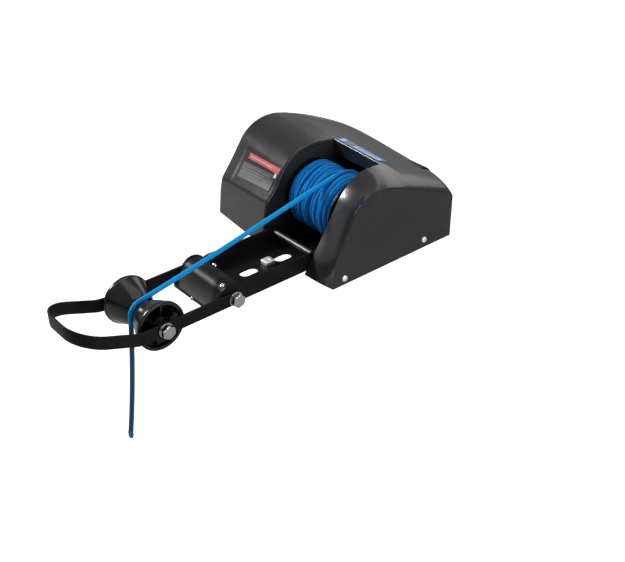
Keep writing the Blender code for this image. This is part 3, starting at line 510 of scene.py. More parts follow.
CAST = metal("die_cast_alloy", (0.42, 0.42, 0.43), (0.34, 0.34, 0.35), 0.4, 0.6,
             stretch=grey(1.0), strength=0.3, depth=0.0003)
COPPER = metal("wound_copper", (0.6, 0.27, 0.13), (0.4, 0.16, 0.07), 0.25, 0.4,
               stretch=(1.0, 8.0, 8.0))
GREY_ROD = metal("zinc_rod", (0.13, 0.13, 0.135), (0.09, 0.09, 0.095), 0.38, 0.5,
                 stretch=(14.0, 1.0, 1.0))
# Painted shade on the blue rope from 51 diameters along it, over its fall from the roller.
BLUE_ROPE = braided("blue_rope", (0.0, 0.29, 0.70), (0.0, 0.08, 0.25), (0.02, 0.48, 0.92),
                    fall_shade_run=(51.0, 56.0))
# Painted shade: the wound turns take a darker copy of the rope's blue, standing for the shade
# inside the drum window.
SHADED_WOUND_ROPE = braided("wound_blue_rope_shaded", (0.0, 0.19, 0.56), (0.0, 0.03, 0.13), (0.0, 0.36, 0.80))
# Painted shade: the inner turns are a dark navy, far darker than the rope, standing for shade in
# the gaps between the outer turns.
SHADED_ROPE_CORE = coated("rope_inner_turns", (0.0, 0.03, 0.12), (0.0, 0.05, 0.18), (0.0, 0.1, 0.3),
                   0.7, 0.85, scale=40.0, grain=700.0, strength=0.5, depth=0.0005)
ROPE_TIP = coated("sealed_rope_end", (0.01, 0.07, 0.2), (0.015, 0.1, 0.28), (0.1, 0.16, 0.25),
                  0.3, 0.45, scale=90.0, grain=1500.0, strength=0.35)
RED_LABEL, BLUE_LABEL, WHITE_LABEL, PINK_LABEL, GREY_LABEL, GREY_LINE = (
    coated(name, base, drift, dust, smooth, rough, scale=scale, dust_amount=amount, strength=0.05)
    for name, base, drift, dust, smooth, rough, scale, amount in (
        ("label_red", (0.42, 0.045, 0.055), (0.50, 0.08, 0.09), (0.6, 0.3, 0.3), 0.28, 0.4,
         40.0, 0.2),
        ("label_blue", (0.035, 0.11, 0.30), (0.06, 0.16, 0.38), (0.3, 0.35, 0.45), 0.25, 0.38,
         40.0, 0.2),
        ("label_white", (0.52, 0.56, 0.62), (0.42, 0.47, 0.55), (0.3, 0.3, 0.32), 0.3, 0.42,
         50.0, 0.2),
        ("label_pink", (0.55, 0.30, 0.32), (0.48, 0.22, 0.24), (0.4, 0.2, 0.2), 0.3, 0.42,
         120.0, 0.3),
        ("label_grey", (0.035, 0.035, 0.037), (0.05, 0.05, 0.052), grey(0.12), 0.3, 0.45,
         50.0, 0.3),
        ("label_rule", grey(0.11), grey(0.15), grey(0.2), 0.4, 0.5, 80.0, 0.15)))


# ---------------------------------------------------------------- camera

def camera():
    """Lens and place of the camera: above the bow, to port."""
    data = bpy.data.cameras.new("camera")
    data.sensor_fit = "HORIZONTAL"
    data.sensor_width, data.lens = 36.0, 59.8
    data.clip_start, data.clip_end = 0.05, 20.0
    obj = bpy.data.objects.new("camera", data)
    right, up = (0.6377, 0.7699, -0.0227), (-0.3982, 0.3548, 0.8460)
    turn = Matrix((right, up, (0.6594, -0.5304, 0.5329))).transposed()
    obj.matrix_world = Matrix.Translation((0.9037, -0.7650, 0.6805)) @ turn.normalized().to_4x4()
    bpy.context.scene.collection.objects.link(obj)
    bpy.context.scene.camera = obj


camera()


# ---------------------------------------------------------------- rope

def rope_slope():
    """Angle below level of the stretch that touches both the drum's pack and the roller."""
    reach = PACK_R + ROPE_R + GAP
    span, drop = -AXLE_Y, DRUM_Z - PIVOT_Z
    return math.atan2(drop, span) + math.asin((reach - ROPE_LINE) / math.hypot(span, drop))


SLOPE = rope_slope()


def rope_line():
    """Centre line of the free rope: a slightly sagging run, an arc on the roller, the fall."""
    reach = PACK_R + ROPE_R + GAP
    start = np.array([ROPE_START_X, -reach * math.sin(SLOPE), DRUM_Z + reach * math.cos(SLOPE)])
    land = np.array([0.0, AXLE_Y - ROPE_LINE * math.sin(SLOPE),
                     PIVOT_Z + ROPE_LINE * math.cos(SLOPE)])
    u = np.linspace(0.0, 1.0, 80, endpoint=False)[:, None]
    run = start + (land - start) * u
    run[:, 2] -= (2.5 * np.sin(math.pi * u) * u)[:, 0]
    angle = np.linspace(SLOPE, math.pi / 2, 16)
    bend = np.stack([np.zeros(16), AXLE_Y - ROPE_LINE * np.sin(angle),
                     PIVOT_Z + ROPE_LINE * np.cos(angle)], -1)
    v = np.linspace(0.0, 1.0, 60)[1:]
    fall = np.stack([np.zeros(59), AXLE_Y - ROPE_LINE - ROPE_LEAD * v * (0.6 + 0.4 * v),
                     PIVOT_Z + (ROPE_END_Z - PIVOT_Z) * v], -1)
    return np.concatenate([run, bend, fall])


def free_rope():
    """The free rope and its sealed tip, bent across the arm's pivot."""
    line = rope_line()
    rope = tube("free_rope", line, (1.0, 0.0, 0.0), ROPE_R, sides=20)
    rope.data.materials.append(BLUE_ROPE)
    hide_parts("rope_run")
    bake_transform(rope)
    tip_line = np.stack([np.zeros(9), np.full(9, line[-1, 1] - 0.15),
                         np.linspace(ROPE_END_Z + 1.5, ROPE_END_Z - 6.6, 9)], -1)
    swell = ROPE_R + np.array([0.05, 0.22, 0.25, 0.12, 0.12, 0.2, 0.15, 0.0, -0.35])
    tip = tube("rope_tip", tip_line, (1.0, 0.0, 0.0), swell, sides=24)
    piece(tip, ROPE_TIP, "roller_arm", "rope", "rope_end_sleeve")


free_rope()


def wound_line():
    """Centre line of the wound rope: an even layer, a wandering layer, then riding turns.

    The place along X drifts with the turns plus slow sine waves, and the radius steps up
    by nearly a rope's thickness between layers. The last turn rises to the tangent point
    where the free rope leaves.
    """
    low, high = DRUM_MID - 37.8, DRUM_MID + 37.8
    per_turn = 60
    turns = np.arange(0.0, 35.2, 1.0 / per_turn)
    last = turns[-1]
    x = np.interp(turns, [0.0, 12.4, 22.6, 26.6, 28.4, 31.4, 33.6, last],
                  [low, high, low, high, DRUM_MID - 6.0, low, DRUM_MID + 28.0, ROPE_START_X])
    radius = np.interp(turns, [0.0, 12.2, 12.6, 22.4, 22.9, 26.4, 26.8, 31.2, 31.6, 34.4, last],
                       [35.4, 35.4, 38.0, 38.2, 39.6, 39.8, 40.6, 40.8, 41.6, 42.0,
                        PACK_R + ROPE_R])
    kernel = np.hanning(31)
    kernel /= kernel.sum()
    pad = len(kernel) // 2
    x = np.convolve(np.pad(x, pad, mode="edge"), kernel, mode="valid")
    radius = np.convolve(np.pad(radius, pad, mode="edge"), kernel, mode="valid")
    wander = spread_in(turns, 12.6, 13.8) * (1.0 - spread_in(turns, last - 0.8, last))
    x = x + wander * (2.6 * np.sin(turns * 2 * math.pi * 0.93 + 0.6)
                      + 1.8 * np.sin(turns * 2 * math.pi * 1.31 + 2.0))
    x = np.clip(x, low - 0.2, high + 0.2)
    radius = radius + wander * 0.5 * np.sin(turns * 2 * math.pi * 1.77 + 1.0)
    angle = SLOPE - 2 * math.pi * (last - turns)
    return np.stack([x, -radius * np.sin(angle), DRUM_Z + radius * np.cos(angle)], -1)


def wound_rope():
    """The rope's outer turns as one tube, over a plain round pack of inner turns."""
    line = wound_line()
    reference = line - np.array([0.0, 0.0, DRUM_Z])
    reference[:, 0] = 0.0
    rope = tube("wound_rope", line, reference, ROPE_R, sides=12)
    piece(rope, SHADED_WOUND_ROPE, "drum", "rope", "rope_pack")
    low, high = DRUM_MID - FLANGE_IN + 0.4, DRUM_MID + FLANGE_IN - 0.4
    inner, outer = DRUM_CORE_R + 0.4, 34.6
    # The inner pack takes the dark navy look: painted shade seen between the outer turns.
    core = revolve("rope_inner_turns", [(inner, low), (inner, high), (outer, high), (outer, low)],
                   0.0, DRUM_Z, rounding=0.8)
    piece(core, SHADED_ROPE_CORE, "drum", "rope")


wound_rope()


# ---------------------------------------------------------------- housing

LIP = 8                 # the control point at the front edge of the bridge
LIP_COLUMN = 1 + (LIP - 1) * (FLAT + BEND) + FLAT + BEND // 2


def split_at(line, index, share):
    """Insert a point into a list of points, a share of the way after index."""
    a, b = np.array(line[index]), np.array(line[index + 1])
    return np.array(line[:index + 1] + [tuple(a + (b - a) * share)] + line[index + 1:], float)


PORT_IN = split_at([(-86.0, COVER_FLOOR), (-71.0, 24.0), (-55.0, 46.0), (-27.0, 90.0),
                    (-15.0, 101.0), (-3.5, 108.0), (10.0, 112.0), (28.0, 112.5), (45.0, 110.5),
                    (80.0, 97.5), (116.0, 83.0), (123.5, 74.0), (121.0, COVER_FLOOR)], 7, 0.765)
PORT_OUT = split_at([(-82.0, COVER_FLOOR), (-78.5, 38.0), (-62.0, 66.0), (-50.5, 90.0),
                     (-35.0, 104.0), (-27.0, 107.5), (-18.0, 109.0), (8.0, 108.0), (44.0, 93.4),
                     (80.0, 78.7), (115.0, 64.4), (122.0, 58.5), (120.0, COVER_FLOOR)], 7, 0.765)
MOTOR_IN = split_at([(-82.0, COVER_FLOOR), (-77.0, 40.0), (-72.0, 61.0), (-57.0, 76.0),
                     (-47.0, 95.0), (-32.0, 110.0), (-17.0, 118.0), (8.0, 120.5), (45.0, 114.0),
                     (80.0, 103.0), (116.0, 89.0), (124.0, 79.0), (121.0, COVER_FLOOR)], 7, 0.892)
MOTOR_OUT = split_at([(-69.0, COVER_FLOOR), (-65.0, 34.0), (-61.0, 50.0), (-41.0, 75.0),
                      (-20.0, 104.5), (-3.0, 115.0), (14.0, 119.0), (31.0, 118.5), (52.0, 112.0),
                      (82.0, 100.0), (113.0, 85.0), (121.0, 75.0), (118.0, COVER_FLOOR)], 7, 0.892)
PORT_REACH = (10, 10, 14, 12, 9, 8, 14, 4, 12, 12, 4, 4)
MOTOR_REACH = (10, 3.0, 9, 12, 14, 14, 16, 4, 16, 16, 7, 6)


def outlines(inner, outer, t):
    """Outlines a share t of the way from inner to outer, one for each t."""
    return inner + (outer - inner) * np.asarray(t)[..., None, None]


def port_outline(x):
    """Outline of the port pod: from the crown beside the drum to the end panel.

    The share of the way t is 1 minus the root of 1 minus (0.90 u) squared, scaled to end
    at 1, so the skin meets the flat end panel at a crease.
    """
    u = np.clip((np.asarray(x, float) - WINDOW_PORT) / (COVER_PORT - WINDOW_PORT), 0.0, 1.0)
    t = (1 - np.sqrt(1 - (0.90 * u) ** 2)) / (1 - math.sqrt(1 - 0.90 ** 2))
    return rounded(outlines(PORT_IN, PORT_OUT, t), PORT_REACH)


def motor_outline(x):
    """Outline of the motor pod, changing evenly from beside the drum to its end.

    Its back swells upwards by 3 mm plus 5 mm times the sine of pi t.
    """
    t = np.clip((np.asarray(x, float) - WINDOW_STBD) / (COVER_STBD - WINDOW_STBD), 0.0, 1.0)
    points = outlines(MOTOR_IN, MOTOR_OUT, t)
    y, z = points[..., 0], points[..., 1]
    share = np.clip((y - 20.0) / 90.0, 0.0, 1.0) * (z > 60.0)
    points = np.stack([y, z + (3.0 + 5.0 * np.sin(math.pi * t[..., None])) * share], -1)
    return rounded(points, MOTOR_REACH)


def bridge_outline(share):
    """Outline a share of the way from the port side of the window to the motor's side."""
    return CROWN_PORT + (CROWN_MOTOR - CROWN_PORT) * share


CROWN_PORT, CROWN_MOTOR = port_outline(WINDOW_PORT), motor_outline(WINDOW_STBD)


def at_x(x, line):
    """A line of (y, z) points set at one place along X, or at a place for each point."""
    return np.column_stack([np.broadcast_to(x, len(line)), line])


def moved_in(line, depth):
    """An outline moved in along its normals, with its two feet kept on the floor."""
    moved = line - outward(line) * np.broadcast_to(depth, len(line))[:, None]
    moved[0, 1] = moved[-1, 1] = COVER_FLOOR
    return moved


def label_recess(x, outline):
    """Depth in mm of the shallow panel pressed into the motor pod's front at x.

    A product of smooth steps: inside a band of X and a band of height, 0 elsewhere.
    """
    z = outline[..., 1]
    front = outline[..., 0] < 0.0
    across = spread_in(-x, 46.5, 48.5) * (1 - spread_in(-x, 138.0, 142.0))
    low, high = 55.0 + (x + 134.0) * 0.12, 95.0 + (x + 134.0) * 0.075
    up = spread_in(z, low, low + 3.0) * (1 - spread_in(z, high - 3.0, high))
    return 0.5 * across * up * front


def pod_rows(outline_at, x_open, x_end, edge, roll, skin_rows):
    """Rows of one pod: end panel, edge, skin, then the roll into the window's cheek.

    Each row is the outline at its x, moved in along its own normal: by the edge radius
    on the end panel, by a quarter circle at each edge and by nothing on the skin.
    """
    sign = 1.0 if x_end > x_open else -1.0
    quarter = np.linspace(0.0, math.pi / 2, 6)
    x_edge = x_end - sign * edge * (1 - np.cos(quarter))
    share = 0.5 - 0.5 * np.cos(np.linspace(0.0, math.pi, skin_rows + 2))[1:-1]
    x_skin = x_end - sign * edge + (x_open - x_end + sign * (edge + roll)) * share
    panel = moved_in(outline_at(x_end), edge)
    centre = np.array([panel[:, 0].mean(), COVER_FLOOR])
    rows = [at_x(x_end, centre + (panel - centre) * s) for s in (0.0, 0.2, 0.4, 0.6, 0.8, 0.95)]
    for x, depth in zip(np.concatenate([x_edge, x_skin]),
                        np.concatenate([edge * (1 - np.sin(quarter)), np.zeros(skin_rows)])):
        line = outline_at(x)
        recess = label_recess(x, line) if sign < 0 else 0.0
        rows.append(at_x(x, moved_in(line, depth + recess)))
    line = outline_at(x_open)
    rolled = roll * (1 - spread_in(np.arange(len(line)), LIP_COLUMN + 1, LIP_COLUMN + 6))
    rows += [at_x(x_open + sign * rolled * (1 - math.sin(psi)),
                  moved_in(line, rolled * (1 - math.cos(psi)))) for psi in quarter]
    rows.append(at_x(x_open, moved_in(line, rolled * 1.6)))
    return np.stack(rows)


def bridge_rows(count=24):
    """Rows of the bridge behind the drum: the chamber's round wall, its lip, the skin.

    The wall is an arc of radius WINDOW_R about the drum; the skin's outline goes evenly from
    the port pod's to the motor pod's.
    """
    angle = np.radians(np.linspace(-38.0, 45.0, 22))
    wall = np.column_stack([WINDOW_R * np.cos(angle), DRUM_Z + WINDOW_R * np.sin(angle)])
    foot = np.array([[wall[0, 0] + 0.5, 3.6], [wall[0, 0] + 0.4, 12.0]])
    rows = []
    for share in np.linspace(0.0, 1.0, count):
        skin = bridge_outline(share)[LIP_COLUMN + 6:]
        top = skin[0, 1]
        lip = np.array([[40.6, 101.0], [41.0, top - 2.4], [41.15, top - 1.3], [41.6, top - 0.5],
                        [42.3, top - 0.05]])
        rows.append(at_x(WINDOW_PORT + (WINDOW_STBD - WINDOW_PORT) * share,
                         np.concatenate([foot, wall, lip, skin])))
    return np.stack(rows)


def sheet_of(name, grids, inside, thickness):
    """Several grids joined into one sheet, merged where they meet, then given a wall."""
    verts, faces, base = [], [], 0
    for grid in grids:
        rows, cols = grid.shape[:2]
        index = base + np.arange(rows * cols).reshape(rows, cols)
        faces.append(np.stack([index[:-1, :-1], index[:-1, 1:], index[1:, 1:], index[1:, :-1]],
                              -1).reshape(-1, 4))
        verts.append(grid.reshape(-1, 3))
        base += rows * cols
    mesh = bpy.data.meshes.new(name)
    mesh.from_pydata((np.concatenate(verts) * MM).tolist(), [], np.concatenate(faces).tolist())
    obj = settle(name, mesh, behind=inside, sharp=28.0)
    wall = obj.modifiers.new("wall", "SOLIDIFY")
    wall.thickness = thickness * MM
    wall.offset = -1.0
    graph = bpy.context.evaluated_depsgraph_get()
    walled = bpy.data.meshes.new_from_object(obj.evaluated_get(graph))
    obj.modifiers.clear()
    obj.data = walled
    walled.set_sharp_from_angle(angle=math.radians(28.0))
    return obj


def housing():
    """The cover's one moulding: port pod, bridge and motor pod."""
    port = pod_rows(port_outline, WINDOW_PORT, COVER_PORT, 1.0, 2.0, 34)
    motor = pod_rows(motor_outline, WINDOW_STBD, COVER_STBD, 5.0, 3.5, 60)
    shell = sheet_of("housing_shell", [port, bridge_rows(), motor], Vector((-0.03, 0.03, 0.03)),
                     2.0)
    piece(shell, HOUSING, "chassis", "housing_plastic", "housing_cover")


def cheek(name, outline, x0, x1):
    """Flat wall beside the drum: a ring from the shaft's hole out to the cover's outline.

    Each column goes from the hole, radius 20, to one point of the outline; the section is
    a plain rectangle from x0 to x1.
    """
    floor_z, hole = 3.6, 20.0
    rim = outline - outward(outline) * 1.2
    rim = rim[rim[:, 1] > floor_z]
    floor = np.column_stack([np.linspace(rim[-1, 0], rim[0, 0], 40), np.full(40, floor_z)])
    rim = np.concatenate([rim, floor[1:-1]])
    centre = np.array([0.0, DRUM_Z])
    reach = np.linalg.norm(rim - centre, axis=1, keepdims=True)
    way = (rim - centre) / reach
    shares = (0.0, 0.3, 0.65, 1.0)
    rows = [at_x(x, centre + way * (hole + (reach - hole) * s))
            for x, s in [(x0, s) for s in shares] + [(x1, s) for s in shares[::-1]]]
    obj = surface(name, np.stack(rows), wrap_u=True, wrap_v=True)
    # The cheek takes the near-black housing copy: painted shade inside the window.
    piece(obj, HOUSING_IN_SHADE, "chassis", "housing_plastic")


housing()
cheek("window_cheek_port", CROWN_PORT, WINDOW_PORT + 0.05, WINDOW_PORT + 3.0)
cheek("window_cheek_starboard", CROWN_MOTOR, WINDOW_STBD - 0.05, WINDOW_STBD - 3.0)


# ---------------------------------------------------------------- labels

def front_patch(name, x0, x1, low, high, lift, thick, look, lean=0.0, cols=40, rows=12):
    """Thin plate on the motor pod's front between two heights at x0, rising by lean."""
    grid = []
    for x in np.linspace(x0, x1, cols):
        line = motor_outline(x)
        line = line - outward(line) * label_recess(x, line)[:, None]
        line = line + outward(line) * lift
        front = line[: LIP_COLUMN - 25]
        z = np.linspace(low, high, rows) + lean * (x - x0)
        grid.append(at_x(x, np.column_stack([np.interp(z, front[:, 1], front[:, 0]), z])))
    plate(name, np.stack(grid), thick, look)


def top_patch(name, x0, x1, y0, y1, lift, look, cols=30, rows=10):
    """Thin plate on top of the bridge between two distances aft, following its skin."""
    grid = []
    for x in np.linspace(x0, x1, cols):
        line = bridge_outline((WINDOW_PORT - x) / (WINDOW_PORT - WINDOW_STBD))
        line = line[LIP_COLUMN + 2:-12]
        y = np.linspace(y0, y1, rows)
        grid.append(at_x(x, np.column_stack([y, np.interp(y, line[:, 0], line[:, 1]) + lift])))
    plate(name, np.stack(grid), 0.4, look)


def plate(name, grid, thick, look):
    """A sheet given a little thickness, riding on the chassis."""
    middle = Vector((grid.reshape(-1, 3).mean(0) * MM).tolist())
    obj = surface(name, grid, closed=False, behind=middle + Vector((0.0, 0.3, -0.6)))
    wall = obj.modifiers.new("wall", "SOLIDIFY")
    wall.thickness = thick * MM
    wall.offset = 0.0
    piece(obj, look, "chassis", "housing_plastic")


def labels():
    """Blank strips and plates on the motor pod's front and on the bridge."""
    lean = 0.075
    front_patch("label_strip_red", -127.0, -51.0, 84.5, 91.3, 0.35, 0.5, RED_LABEL, lean)
    front_patch("label_strip_rule", -122.0, -68.0, 87.7, 89.3, 0.55, 0.5, PINK_LABEL, lean)
    front_patch("label_mark_white", -59.0, -53.5, 84.5, 89.5, 0.6, 0.5, WHITE_LABEL, cols=8)
    front_patch("label_data_plate", -134.0, -56.0, 60.5, 79.5, 0.3, 0.4, GREY_LABEL, 0.1)
    for i, length in enumerate((62.0, 54.0, 64.0, 46.0, 58.0)):
        z = 76.0 - 3.0 * i
        front_patch(f"label_rule_{i + 1}", -130.0, length - 130.0, z - 0.5, z + 0.5, 0.42, 0.4,
                    GREY_LINE, 0.1, rows=3)
    for name, x0, x1, y0, y1, lift, look, cols in (
            ("blue", -44.5, 38.0, 43.2, 60.0, 0.3, BLUE_LABEL, 30),
            ("pale_bar", -14.0, 34.0, 46.0, 54.0, 0.5, WHITE_LABEL, 30),
            ("blue_bar", -8.0, 29.0, 48.5, 51.0, 0.7, BLUE_LABEL, 30),
            ("pale_block", -41.0, -33.0, 47.0, 55.0, 0.5, WHITE_LABEL, 8),
            ("red_block", -30.0, -16.0, 50.0, 57.5, 0.5, RED_LABEL, 10)):
        top_patch("sticker_" + name, x0, x1, y0, y1, lift, look, cols)


labels()


# ---------------------------------------------------------------- arm

def strap():
    """Flat bar on edge: a rounded rectangle carried along the bent arm's path.

    The path is straight, a quarter circle, straight across the nose, and mirrored. Its
    height is level, then a parabola into a straight rise. The bar's ends are half round,
    its half height the root of a circle about the pivot.
    """
    half = STRAP_IN + STRAP_T / 2
    corner = BAIL_NOSE_Y + BAIL_R
    side_y = np.concatenate([PIVOT_Y + STRAP_END_R * np.cos(np.linspace(0, math.pi / 2, 12)),
                             np.linspace(PIVOT_Y - 2.0, corner, 90)])
    side = np.column_stack([np.full(len(side_y), half), side_y])
    a = np.linspace(0.0, math.pi / 2, 40)[1:]
    bend = np.column_stack([half - BAIL_R + BAIL_R * np.cos(a), corner - BAIL_R * np.sin(a)])
    port = np.concatenate([side, bend])
    path = np.concatenate([port, port[::-1][1:] * np.array([-1.0, 1.0])])
    y = path[:, 1]
    soft, ramp = 8.0, math.tan(BAIL_RISE)
    run = BAIL_RISE_Y + soft - y
    rise = np.where(run <= 0, 0.0, np.where(run >= 2 * soft, (run - soft) * ramp,
                                            run * run / (4 * soft) * ramp))
    way = np.gradient(path, axis=0)
    way /= np.linalg.norm(way, axis=1, keepdims=True)
    across = np.column_stack([way[:, 1], -way[:, 0]])
    chord = np.sqrt(np.clip(STRAP_END_R ** 2 - (y - PIVOT_Y) ** 2, 0.0, None)) / STRAP_END_R
    tall = STRAP_H / 2 * np.where(y > PIVOT_Y, chord, 1.0)
    thin = STRAP_T / 2
    ring = rounded_loop(np.array([(-thin, -1.0), (thin, -1.0), (thin, 1.0), (-thin, 1.0)])
                        * np.array([1.0, STRAP_H / 2]), 0.9, bend=5)
    ring[:, 1] /= STRAP_H / 2
    side_off = ring[None, :, 0] * np.minimum(1.0, tall / 1.2 + 0.02)[:, None]
    points = np.stack([path[:, None, 0] + across[:, None, 0] * side_off,
                       path[:, None, 1] + across[:, None, 1] * side_off,
                       (PIVOT_Z + rise)[:, None] + ring[None, :, 1] * tall[:, None]], -1)
    obj = surface("arm_bar", capped(points), wrap_u=True)
    piece(obj, POWDER, "roller_arm", "black_steel", "arm_strap")


strap()


def roller_half(side, label):
    """One flared half of the roller, turned about the axle, with ribs in its outer dish.

    The profile is a closed line of radius against distance from the middle. On the dish
    the distance is raised to the ribs' top wherever the turn is near one of six ribs.
    """
    bore = AXLE_R + GAP
    u = np.linspace(0.0, 1.0, 16)
    flare = np.column_stack([ROLLER_GROOVE_R + (ROLLER_RIM_R - 1.0 - ROLLER_GROOVE_R) * u ** 0.62,
                             3.15 + (ROLLER_HALF - 8.0) * u])
    outer = np.array([(bore, 36.6), (bore + 0.4, 37.0), (10.0, 37.0), (10.5, 36.5)])
    dish = np.column_stack([np.linspace(10.5, 26.3, 18), np.linspace(19.0, 32.0, 18)])
    rim = np.array([(26.7, 38.4), (27.3, 39.0), (30.2, 39.0), (30.8, 38.6), (31.0, 38.0),
                    (31.0, 35.0), (30.6, 34.4)])
    nose = np.array([(ROLLER_GROOVE_R, 0.15), (bore, 0.15)])
    line = np.concatenate([outer, dish, rim, flare[::-1], nose])
    turn, ribs, rib_top = turns_of(240), 6, 34.5
    along = np.broadcast_to(line[:, 1:], (len(line), len(turn))).copy()
    first, last = len(outer), len(outer) + len(dish)
    near = np.abs((turn / (2 * math.pi) * ribs + 0.5) % 1.0 - 0.5) * 2 * math.pi / ribs
    rib = 1.0 - spread_in(near[None, :] * line[first:last, :1], 1.0, 1.9)
    along[first:last] += (rib_top - along[first:last]) * rib
    points = about_x(side * along, line[:, :1], turn + 0.3, AXLE_Y, PIVOT_Z)
    obj = surface("roller_" + label, points, wrap_u=True, wrap_v=True, sharp=40.0)
    piece(obj, GLOSS, "bow_roller", "roller_plastic", "roller_half_" + label)


roller_half(1.0, "port")
roller_half(-1.0, "starboard")


# ---------------------------------------------------------------- fasteners

def hex_piece(name, x0, x1, y, z, bore, body, node_name, turn0):
    """Hexagon head or nut on an X axis: a hexagon cut back by a chamfer circle at its ends.

    The radius at a turn is the smaller of the hexagon's own radius and the circle allowed
    at that distance along X. A head, without a bore, has a shallow dish in its end.
    """
    turn, flat, run = turns_of(144), 7.8, x1 - x0
    hexagon = flat / np.cos((turn % (math.pi / 3)) - math.pi / 6)
    rings = [(x0, bore)]
    rings += [(x0 + run * share, np.minimum(hexagon, limit)) for share, limit in
              ((0.0, 7.4), (0.06, 8.3), (0.14, 9.1), (0.84, 9.1), (0.94, 8.3), (1.0, 7.3))]
    if bore:
        rings += [(x1, bore + 0.9), (x1 - math.copysign(0.7, run), bore)]
    else:
        floor = x1 - math.copysign(0.35, run)
        rings += [(x1, 6.6), (floor, 6.2), (floor, 0.0)]
    points = np.stack([about_x(x, radius, turn + turn0, y, z) for x, radius in rings])
    obj = surface(name, points, wrap_u=True, wrap_v=bool(bore), sharp=24.0)
    piece(obj, BRIGHT, body, "stainless", node_name)


def bolt_shank(name, x0, x1, y, z, body):
    """Round shank: the radius is 4.95 less, near its end, a wave that winds with the turn."""
    lead, threaded_length, depth = 1.5, 16.0, 0.55
    along, turn = np.linspace(x0, x1, 420)[:, None], turns_of(32)
    threaded = spread_in(threaded_length - np.abs(along - x1), 0.0, 0.5)
    wave = 0.5 - 0.5 * np.cos(along / lead * 2 * math.pi + turn)
    taper = np.minimum(1.0, 0.82 + 0.18 * np.abs(along - x1))
    points = about_x(along, (4.95 - depth * wave * threaded) * taper, turn, y, z)
    obj = surface(name, capped(points), wrap_u=True, sharp=50.0)
    piece(obj, BRIGHT, body, "stainless")


def cross_bolts():
    """The pivot bolt and the roller's axle, with their nuts and washers."""
    face = STRAP_IN + STRAP_T + GAP
    seat, bore = face + WASHER_T + GAP, AXLE_R + GAP
    for stem, y, body, spin in (("pivot", PIVOT_Y, "chassis", 0.25),
                                ("axle", AXLE_Y, "roller_arm", 0.5)):
        hex_piece(stem + "_bolt_head", seat, seat + BOLT_HEAD_T, y, PIVOT_Z, 0.0, body,
                  stem + "_bolt", spin)
        hex_piece(stem + "_lock_nut", -seat, -seat - BOLT_HEAD_T, y, PIVOT_Z, AXLE_R + 0.1, body,
                  stem + "_nut", spin + 0.3)
        bolt_shank(stem + "_shank", seat + 0.5, -seat - BOLT_HEAD_T - 3.0, y, PIVOT_Z, body)
        for sign, label in ((1.0, "port"), (-1.0, "starboard")):
            x0, x1 = sorted((sign * face, sign * (face + WASHER_T)))
            washer = revolve(f"{stem}_flat_washer_{label}",
                             [(bore, x0), (bore, x1), (WASHER_R, x1), (WASHER_R, x0)],
                             y, PIVOT_Z, rounding=0.45)
            piece(washer, BRIGHT, body, "stainless", f"{stem}_washer_{label}")


cross_bolts()


def domed_screw(name, centre, axis, radius, height, look=BRIGHT, node_name=None):
    """Pan head with a cross recess: a dome of height against radius, less two smooth slots.

    The dome is 0.3 plus 0.7 times the root of 1 minus the radius share to the power 2.6.
    The recess is cut where the point is near either arm of a cross, fading out towards
    the rim.
    """
    turn = turns_of(96)[None, :]
    share = np.linspace(0.0, 1.0, 26)[:, None]
    a, b = share * radius * np.cos(turn), share * radius * np.sin(turn)
    dome = height * (0.30 + 0.70 * np.sqrt(np.clip(1 - share ** 2.6, 0.0, 1.0)))
    arm = np.minimum(np.abs(a), np.abs(b))
    reach = 1 - spread_in(share, 0.38, 0.58)
    recess = (1 - spread_in(arm, 0.30, 0.62)) * reach * height * 0.75
    base = np.zeros_like(turn)
    a = np.concatenate([a, a[-1:], base])
    b = np.concatenate([b, b[-1:], base])
    h = np.concatenate([dome - recess, base, base])
    axis = np.array(axis, float)
    axis /= np.linalg.norm(axis)
    side = np.cross(axis, (0.0, 0.6, 0.8) if abs(axis[0]) > 0.7 else (1.0, 0.0, 0.0))
    side /= np.linalg.norm(side)
    other = np.cross(axis, side)
    points = (np.array(centre, float) + a[..., None] * side + b[..., None] * other
              + h[..., None] * axis)
    obj = surface(name, points, wrap_u=True, sharp=30.0)
    piece(obj, look, "chassis", "stainless", node_name)


def screws():
    """The cover's screws in its end panels and the three round the saddle block."""
    for label, x, y, z in (("port_fore", COVER_PORT + 0.1, -64.0, 9.5),
                           ("port_aft", COVER_PORT + 0.1, 71.0, 12.0),
                           ("starboard_fore", COVER_STBD - 0.1, -53.0, 11.0),
                           ("starboard_aft", COVER_STBD - 0.1, 71.0, 12.0)):
        domed_screw("housing_screw_" + label, (x, y, z), (math.copysign(1.0, x), 0.0, 0.0), 4.2,
                    2.3, ZINC, "cover_screw_" + label)
    for label, x, angle in (("aft", -13.0, 44.0), ("port", 35.5, 120.0)):
        axis = np.array([0.0, math.cos(math.radians(angle)), math.sin(math.radians(angle))])
        domed_screw("shank_block_screw_" + label, np.array([x, PIVOT_Y, PIVOT_Z]) + 18.5 * axis,
                    axis, 3.3, 2.4, node_name="saddle_screw_" + label)
    domed_screw("shank_block_screw_fore", (1.0, PIVOT_Y - 31.0, 4.0), (0.0, -1.0, 0.0), 2.4, 2.2,
                node_name="saddle_screw_fore")


screws()


